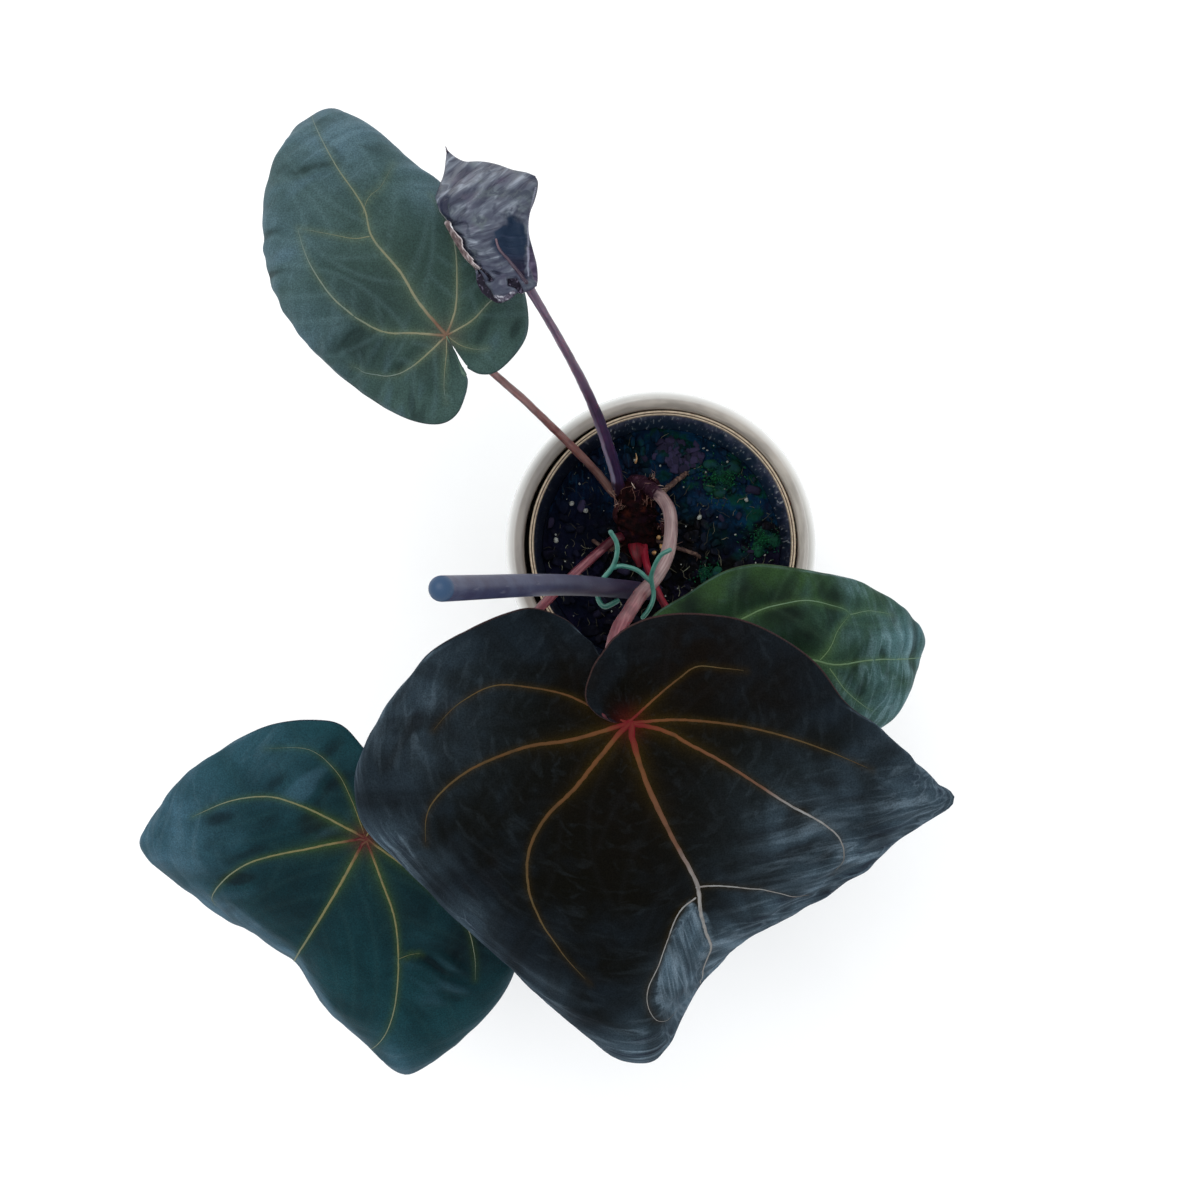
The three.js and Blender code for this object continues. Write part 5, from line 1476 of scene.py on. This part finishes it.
def make_perlite(draw):
    grains = Shape()
    for x, y, radius in PERLITE:
        form = (radius * 0.9, radius * 0.8, radius * 0.7)
        grains.add(*pebble(draw, (x, y, soil_height(x, y) + 0.4), form, 0.5, 0.8, 11, 18, 0.07))
    for _ in range(LITTER["grains"]):
        x, y, z = on_soil(draw, 53)
        radius = draw.uniform(0.2, 0.62)
        grains.add(*pebble(draw, (x, y, z + 0.6), (radius, radius, radius * 0.8), 1, 0.8, 4, 7))
    f = Finish("perlite", 0.85, 0.2)
    base = f.over(0x9ea19c, 0x686c68, f.noise(0.7, 4), 0.4, 0.65)
    base = f.over(base, 0x605c54, f.cells(0.5, "F1"), 0.1, 0.25, 0.7, 0.0)
    place("perlite_grains", grains, f.done(base, f.bump(f.cells(0.5), 0.15)), "perlite",
          *[f"perlite_{i}" for i in range(1, 9)])


def make_beads(draw):
    """The amber beads, and an amber flake beyond the crown."""
    beads = Shape()
    for x, y, radius in [*BEADS, (1.6, 5.8, 0.6)]:
        spot = (x, y, soil_height(x, y) + 0.9)
        beads.add(*pebble(draw, spot, (radius, radius, radius * 0.9), 1, 1, 12, 18, 0.06))
    flake = [(x, y, soil_height(x, y) + 1.0) for x, y in ((-10.9, 39.6), (-10.4, 41.4), (-10.8, 43.8))]
    beads.tube(spaced(flake, 12), np.linspace(0.6, 0.15, 13), 10, ends=2)
    f = Finish("amber_bead", 0.25, 0.5, Subsurface_Weight=0.3, Subsurface_Radius=(0.002, 0.001, 0.0004))
    base = f.over(0xb89468, 0x8a5e34, f.noise(1.1, 3), 0.35, 0.7)
    place("amber_beads", beads, f.done(base, f.bump(f.noise(0.7, 2), 0.08)), "amber_bead",
          *[f"fertiliser_bead_{i}" for i in range(1, 4)])


def make_moss(draw):
    """Low cushions with upright tufts over them."""
    moss = Shape()
    for x, y, radius in MOSS:
        for _ in range(9):
            px, py = spot_round(draw, x, y, 1, 0.85, lambda: draw.uniform(0.1, 0.75) * radius)
            size = radius * draw.uniform(0.22, 0.42)
            form = (size, size * 0.8, size * 0.4)
            lump = pebble(draw, (px, py, soil_height(px, py) + 0.2), form, 0.1, 1, 7, 16, 0.12)
            moss.add(*lump, tone=0.1 + 0.3 * draw.random())
        for _ in range(int(9 * radius * radius ** 0.7)):
            turn, far = draw.uniform(0, 6.28), min(1.5, abs(draw.gauss(0, 0.62)))
            px, py = x + radius * far * math.cos(turn), y + 0.85 * radius * far * math.sin(turn)
            pz = soil_height(px, py) + 0.3 + radius * 0.1 * math.sqrt(max(0, 1 - far * far))
            height = draw.uniform(0.7, 1.9) * (1.25 - 0.5 * far)
            lean = (px + draw.gauss(0, 0.5), py + draw.gauss(0, 0.5), pz + height)
            middle = ((px + lean[0]) / 2, (py + lean[1]) / 2, pz + height * 0.6)
            thick = draw.uniform(0.2, 0.42)
            path = [(px, py, pz - 0.6), middle, lean]
            moss.tube(path, [thick, thick * 0.9, 0.08], 4, ends=1, tone=draw.random())
    f = Finish("moss", 0.8, 0.15)
    base = f.ramp(f.value("tone"), [(0.0, 0x041e1a), (0.4, 0x083a28), (0.8, 0x0e5230), (1.0, 0x20683c)])
    base = f.over(base, 0x082e38, f.noise(6, 3), 0.48, 0.66, 0.0, 0.7)
    place("moss_tufts", moss, f.done(base, f.bump(f.noise(0.4, 2), 0.08)), "moss",
          *[f"moss_patch_{i}" for i in range(1, 4)])


def make_litter():
    """What lies on the soil, from one run of random numbers."""
    draw = random.Random(LITTER["seed"])
    for make in (make_chips, make_soil_fibres, make_perlite, make_beads, make_moss):
        make(draw)


# The crown: the short stem, old sheaths, their fibres and roots

STEM_PATH = [(-9, -1, 90), (-9, 2, 100), (-10, 9, 107.5), (-11, 17, 110.5), (-12, 24, 111.5)]
STEM = {"seed": 31, "girth": 9.5, "knobs": 46}
# Old sheaths: half their thickness, half their width and their centre line.
SHEATHS = {
    "cataphyll_1": (0.6, 4, [(-20, 12, 106), (-21, 14, 112), (-20.5, 17, 118), (-18, 19, 123)]),
    "cataphyll_2": (0.6, 3, [(-3, 30, 105), (-2, 31, 111), (-3, 30, 116), (-5, 31, 121)]),
    "cataphyll_3": (0.6, 3.5, [(3, 8, 106), (4, 8, 111), (2.5, 9, 117), (0, 10, 121)]),
}
# The collar round the top of the stem, and pale strands over it.
COLLAR = [(-12.5, 25, 110.5), (-12, 29.5, 113), (-6, 27.5, 117), (-2.2, 24, 121)]
PALE_STRANDS = [[(-18.7, 27.3, 117.5), (-17.4, 24.1, 118), (-12.7, 24.5, 118.5), (-10.2, 24.1, 118)],
                [(-10.2, 24.1, 118), (-11.3, 25.8, 118.6), (-13.1, 28.9, 118)]]
# Small upright sheaths: place and tone.
SCALES = [(-17.5, 20.5, 0.1), (-15.5, 15, 0.3), (-4.5, 15.5, 0.2), (-12, 9, 0.4), (-6.5, 9, 0.1),
          (-16.5, 8.5, 0.2), (-10.5, 20.5, 0.0), (-3, 20, 0.3)]
# Frayed fibres: foot, tip, width, number and tone.
FRAYED = [((-3.5, 25, 120.5), (0.5, 22.5, 124), 3.0, 16, 0.6), ((-7, 24, 117), (-5, 17.5, 121), 6, 12, 0.25),
          ((-19, 24, 116), (-22.5, 29, 119), 3, 9, 0.5), ((-15, 20, 115), (-10, 26, 122), 5, 10, 0.15)]
RED_SHEATH = (2, 4.5, [(-10.5, 4.5, 108), (-10.6, 1, 113.5), (-10.2, -3.5, 116), (-9.4, -9, 116.5)])
# Roots in the air: radius and centre line.
ROOTS = {
    "aerial_root_1": (1.3, [(-5, 22, 110), (2, 26, 111), (8, 31, 108), (12, 34, 105), (13, 36, 98)]),
    "aerial_root_2": (1.0, [(-18, 1, 108), (-24, -1, 111), (-29, 2, 109), (-31, 4, 100)]),
    "aerial_root_3": (1.0, [(-3, 4, 107), (4, 1, 109), (10, -1, 110.5), (16, -3, 109.5), (20, -5, 100)]),
}


def frayed(shape, draw, foot, tip, width, count, tone):
    """Loose fibres that spread from a line near foot towards tip."""
    foot, tip = np.array(foot, float), np.array(tip, float)
    way = unit(tip - foot)
    side = unit(np.cross(way, UP + 0.01))
    length = np.linalg.norm(tip - foot)
    for _ in range(count):
        start = foot + side * draw.uniform(-width, width)
        spread = side * draw.gauss(0, 0.35 * length) + UP * draw.gauss(0, 0.2 * length)
        end = start + way * length * draw.uniform(0.5, 1.1) + spread
        bend = (start + end) / 2 + np.array([draw.gauss(0, 0.12 * length) for _ in range(3)])
        radius = draw.uniform(0.10, 0.24)
        shade = min(1, max(0, tone + draw.uniform(-0.25, 0.25)))
        path = spaced([start, bend, end], 6)
        shape.tube(path, np.linspace(radius, radius * 0.3, 7), 5, ends=1, tone=shade)


def sheath_taper(share):
    return 0.25 + 0.75 * np.sin(math.pi * np.minimum(1, 0.25 + 0.72 * share))


def make_stem(draw):
    path = spaced(STEM_PATH, 90)
    share = np.linspace(0, 1, len(path))
    girth = STEM["girth"] * (0.8 + 0.35 * np.sin(math.pi * share * 0.9))
    rough = wobble(3, [(0.05, 2, 12), (0.045, 3, 7), (0.04, 5, 4.3), (0.03, 8, 2.6), (0.02, 13, 1.4),
                       (0.035, 0, 3.6)])
    stem = Shape()
    stem.tube(path, np.stack([girth, girth * 0.85], axis=1), 56, section=rough, keep=["skin"])
    for _ in range(STEM["knobs"]):
        i = draw.randrange(25, len(path))
        turn = draw.uniform(0.1, math.pi - 0.1)
        centre = path[i] + np.array([math.cos(turn), 0, math.sin(turn)]) * girth[i] * 0.84
        size = draw.uniform(0.8, 2.3)
        points, faces = pebble(draw, centre, (size, size * 0.8, size * 0.45), 0.7, 0.75, rough=0.16)
        stem.add(points, faces, skin=points - centre)
    f = Finish("stem_bark", 0.8, 0.04)
    base = f.over(0x090405, 0x1b0809, f.noise(2.4, 5), 0.36, 0.66)
    base = f.over(base, 0x160812, f.noise(6, 3), 0.52, 0.68, 0.0, 0.8)
    base = f.over(base, 0x38160d, f.noise(4.5, 2), 0.58, 0.7, 0.0, 0.6)
    base = f.over(base, 0x502822, f.noise(0.8, 3), 0.68, 0.76, 0.0, 0.5)
    place("crown_stem", stem, f.done(base, f.bump(f.noise(0.9, 5), 0.5)), "stem_bark", "stem")


def make_sheaths(draw):
    """Old sheaths round the crown, and the fibres they fray into."""
    husks = Shape()
    fibres = Shape()
    middle = np.array([CROWN[0] - 1.5, CROWN[1] + 6, 0.0])
    for number, (thick, wide, rows) in enumerate(SHEATHS.values()):
        path = spaced(rows, 30)
        taper = sheath_taper(np.linspace(0, 1, len(path)))
        ups = unit((path - middle) * np.array([1, 1, 0.0]))
        ragged = wobble(number + 60, [(0.10, 2, 3.1), (0.12, 1, 1.7), (0.08, 4, 1.1)])
        radii = np.stack([wide * taper, thick * taper], axis=1)
        points, faces, found = tube(path, radii, 20, ups, 3, ragged)
        cup = -0.10 * found["skin"][:, :1] ** 2 * ups[len(path) // 2]
        husks.add(points + cup, faces, tone=draw.random())
        frayed(fibres, draw, path[22], path[-1] + (path[-1] - path[-5]) * 0.8, wide * 0.5, 9, 0.5)
    ragged = wobble(77, [(0.08, 2, 5), (0.07, 3, 2.6), (0.05, 5, 1.7), (0.05, 0, 2.2)])
    husks.tube(spaced(COLLAR, 30), np.linspace(3.7, 3.2, 31), 26, section=ragged, tone=0.0)
    for rows in PALE_STRANDS:
        fibres.tube(spaced(rows, 20), np.linspace(0.3, 0.16, 21), 7, ends=2, tone=1.0)
    for strand in FRAYED:
        frayed(fibres, draw, *strand)
    for x, y, tone in SCALES:
        wide, tall = draw.uniform(2.0, 3.6), draw.uniform(4, 7.5)
        foot = np.array([x, y, 111.5])
        lean = np.array([draw.uniform(-2, 2), draw.uniform(-2.5, 1), tall])
        path = spaced([foot, foot + lean * 0.5 + np.array([0, -0.6, 0]), foot + lean], 14)
        taper = np.maximum(0.06, np.sin(math.pi * (0.3 + 0.68 * np.linspace(0, 1, len(path)))))
        ragged = wobble(int(100 + x * 3), [(0.1, 2, 3.1), (0.1, 1, 1.7)])
        radii = np.stack([wide * taper, 0.55 * taper + 0.1], axis=1)
        husks.tube(path, radii, 14, np.broadcast_to([0, -0.5, 0.8], path.shape), 2, ragged, tone=tone)
    f = Finish("husk", 0.75, 0.08)
    base = f.ramp(f.value("tone"), [(0.0, 0x26101d), (0.4, 0x200a0f), (1.0, 0x381a1b)])
    grain = f.noise(0.7, 3, (1, 1, 0.15))
    base = f.over(base, 0x160910, grain, 0.4, 0.7, 0.0, 0.6)
    base = f.over(base, 0x402836, f.noise(2.5, 2), 0.58, 0.7, 0.0, 0.6)
    # Painted highlights: small beige flecks.
    base = f.over(base, 0x74544c, f.noise(0.5, 2), 0.66, 0.75, 0.0, 0.6)
    place("old_sheaths", husks, f.done(base, f.bump(grain, 0.3)), "husk", *SHEATHS)
    f = Finish("sheath_fibres", 0.7, 0.25)
    base = f.ramp(f.value("tone"), [(0.0, 0x462626), (0.45, 0x8c685c), (1.0, 0xcebeb0)])
    base = f.over(base, 0x5c3a32, f.noise(0.8, 2), 0.4, 0.7, 0.0, 0.5)
    place("sheath_fibres", fibres, f.done(base, f.bump(f.noise(0.3, 2), 0.04)), "husk")


def make_red_sheath():
    thick, wide, rows = RED_SHEATH
    path = spaced(rows, 30)
    taper = np.maximum(0.1, sheath_taper(np.linspace(0, 1, len(path))) - 0.1)
    uneven = wobble(91, [(0.05, 2, 9), (0.04, 3, 5), (0.03, 6, 3)])
    sheath = Shape()
    sheath.tube(path, np.stack([wide * taper, thick * taper], axis=1), 24,
                np.broadcast_to([0.15, -0.3, 1.0], path.shape), 4, uneven, ["skin", "along"])
    f = Finish("crimson_sheath", 0.42, 0.15, Subsurface_Weight=0.12, Subsurface_Radius=(0.003, 0.001, 0.001))
    streak = f.noise(0.9, 3, (1, 1, 0.1), f.vector("skin"))
    base = f.over(0x600616, 0x38040e, streak, 0.35, 0.7)
    base = f.over(base, 0x3c0e16, f.value("along"), 0.7, 1.0, 0.0, 0.8)
    place("young_sheath", sheath, f.done(base, f.bump(streak, 0.12)), "crimson_sheath", "red_sheath")


def make_roots(draw):
    roots = Shape()
    for number, (radius, rows) in enumerate(ROOTS.values()):
        path = spaced(rows, 60)
        knobbly = wobble(number + 120, [(0.08, 1, 6), (0.08, 2, 3.4), (0.06, 3, 1.9), (0.05, 0, 2.3)])
        radii = radius * (1.1 - 0.3 * np.linspace(0, 1, len(path)))
        roots.tube(path, radii, 14, section=knobbly, keep=["skin"])
        for _ in range(8):
            foot = path[draw.randrange(8, 50)]
            end = foot + np.array([draw.gauss(0, 1.6), draw.gauss(0, 1.6), draw.uniform(-0.8, 0.8)])
            hair = spaced([foot, (foot + end) / 2 + 0.2, end], 5)
            roots.tube(hair, np.linspace(0.3, 0.12, 6), 6, ends=1, keep=["skin"])
    f = Finish("root", 0.7, 0.2)
    base = f.over(0x3c2a28, 0x685248, f.noise(2.2, 4), 0.4, 0.66)
    base = f.over(base, 0x2c1e1e, f.noise(0.7, 3), 0.58, 0.7, 0.0, 0.7)
    place("aerial_roots", roots, f.done(base, f.bump(f.noise(0.6, 4), 0.2)), "root", *ROOTS)


def make_crown():
    draw = random.Random(STEM["seed"])
    make_stem(draw)
    make_sheaths(draw)
    make_red_sheath()
    make_roots(draw)


# Centre lines of the clip's strips.
CLIP = {
    "left_arm": [(-23, 4, 176), (-20.5, -0.5, 175), (-20.5, -6, 173.5), (-22.5, -11, 171), (-25, -14, 169),
                 (-27.2, -17, 168), (-28.4, -21, 168), (-27.7, -24.8, 168), (-25.5, -27, 168.5),
                 (-23, -26.2, 169), (-20, -24.5, 169.5)],
    "arch": [(-22.5, -11, 171), (-19, -10, 171.5), (-15.5, -10.5, 172), (-11.5, -12, 172), (-8, -15, 171.8),
             (-5.8, -17, 171.5)],
    "right_arm": [(1.5, -3.5, 177.5), (-2, -5.5, 177), (-4.5, -9.5, 175), (-6, -14.5, 172.5),
                  (-5.5, -18.5, 171.5), (-5, -21.5, 171), (-5.5, -25, 171), (-7.5, -29, 171),
                  (-9.5, -31.5, 171)],
}


def make_clip():
    """Three rounded strips fused into one moulding."""
    strips = Shape()
    for rows in CLIP.values():
        strips.tube(spaced(rows, 70), [(1.0, 1.25)] * 71, 20, ends=5)
    fused = worked(strips, "REMESH", 5, mode="VOXEL", voxel_size=0.26)
    f = Finish("clip_plastic", 0.36, 0.5, Subsurface_Weight=0.08, Subsurface_Radius=(0.001, 0.002, 0.0016))
    base = f.over(0x2c665b, 0x3a766a, f.noise(4, 3), 0.35, 0.7)
    base = f.over(base, 0x1c4844, f.noise(7, 2, warp=0.5), 0.5, 0.72, 0.0, 0.6)
    # Painted highlights: small light flecks.
    base = f.over(base, 0x5c9284, f.noise(0.9, 3), 0.6, 0.75, 0.0, 0.3)
    place("spring_clip", fused, f.done(base, f.bump(f.noise(0.9, 3), 0.05)), "clip_plastic", "plant_clip")


# The floor's reach and the lamp, in metres and watts, and the way from what it lights to the lamp.
STAGE = {"floor": 4, "sky": (0.96, 0.98, 1.0, 1), "sky_strength": 1.05, "lamp_size": 1.6, "lamp_power": 16,
         "lamp_place": (-0.5, 0.6, 1.9), "lamp_way": (-0.5, 0.6, 1.7)}


def make_floor_and_light():
    reach = STAGE["floor"]
    f = Finish("floor", 0.9, 0.1)
    corners = [(-reach, -reach, 0), (reach, -reach, 0), (reach, reach, 0), (-reach, reach, 0)]
    floor = raw_piece("floor", Shape(corners, [(0, 1, 2, 3)]))
    floor.data.materials.append(f.done(f.mix(f.noise(60, 2), 0xf6f6f6, 0xfafafa)))
    world = bpy.data.worlds.new("studio")
    bpy.context.scene.world = world
    world.use_nodes = True
    background = world.node_tree.nodes["Background"]
    background.inputs["Color"].default_value = STAGE["sky"]
    background.inputs["Strength"].default_value = STAGE["sky_strength"]
    lamp = bpy.data.lights.new("softbox", "AREA")
    lamp.shape = "DISK"
    lamp.size = STAGE["lamp_size"]
    lamp.energy = STAGE["lamp_power"]
    softbox = bpy.data.objects.new("softbox", lamp)
    softbox.location = STAGE["lamp_place"]
    softbox.rotation_euler = Vector(STAGE["lamp_way"]).to_track_quat("Z", "Y").to_euler()
    bpy.context.scene.collection.objects.link(softbox)


def make_camera():
    data = bpy.data.cameras.new("camera")
    data.lens = CAMERA["lens"]
    data.sensor_width = CAMERA["sensor"]
    camera = bpy.data.objects.new("camera", data)
    camera.location = Vector(CAMERA["place"]) * MM
    bpy.context.scene.collection.objects.link(camera)
    bpy.context.scene.camera = camera
    bpy.context.scene.view_settings.view_transform = "Standard"


make_camera()
make_floor_and_light()
make_cover_pot()
make_nursery_pot()
make_soil()
make_litter()
make_crown()
make_stake()
make_clip()
make_petioles()
make_leaves()
make_new_leaf()
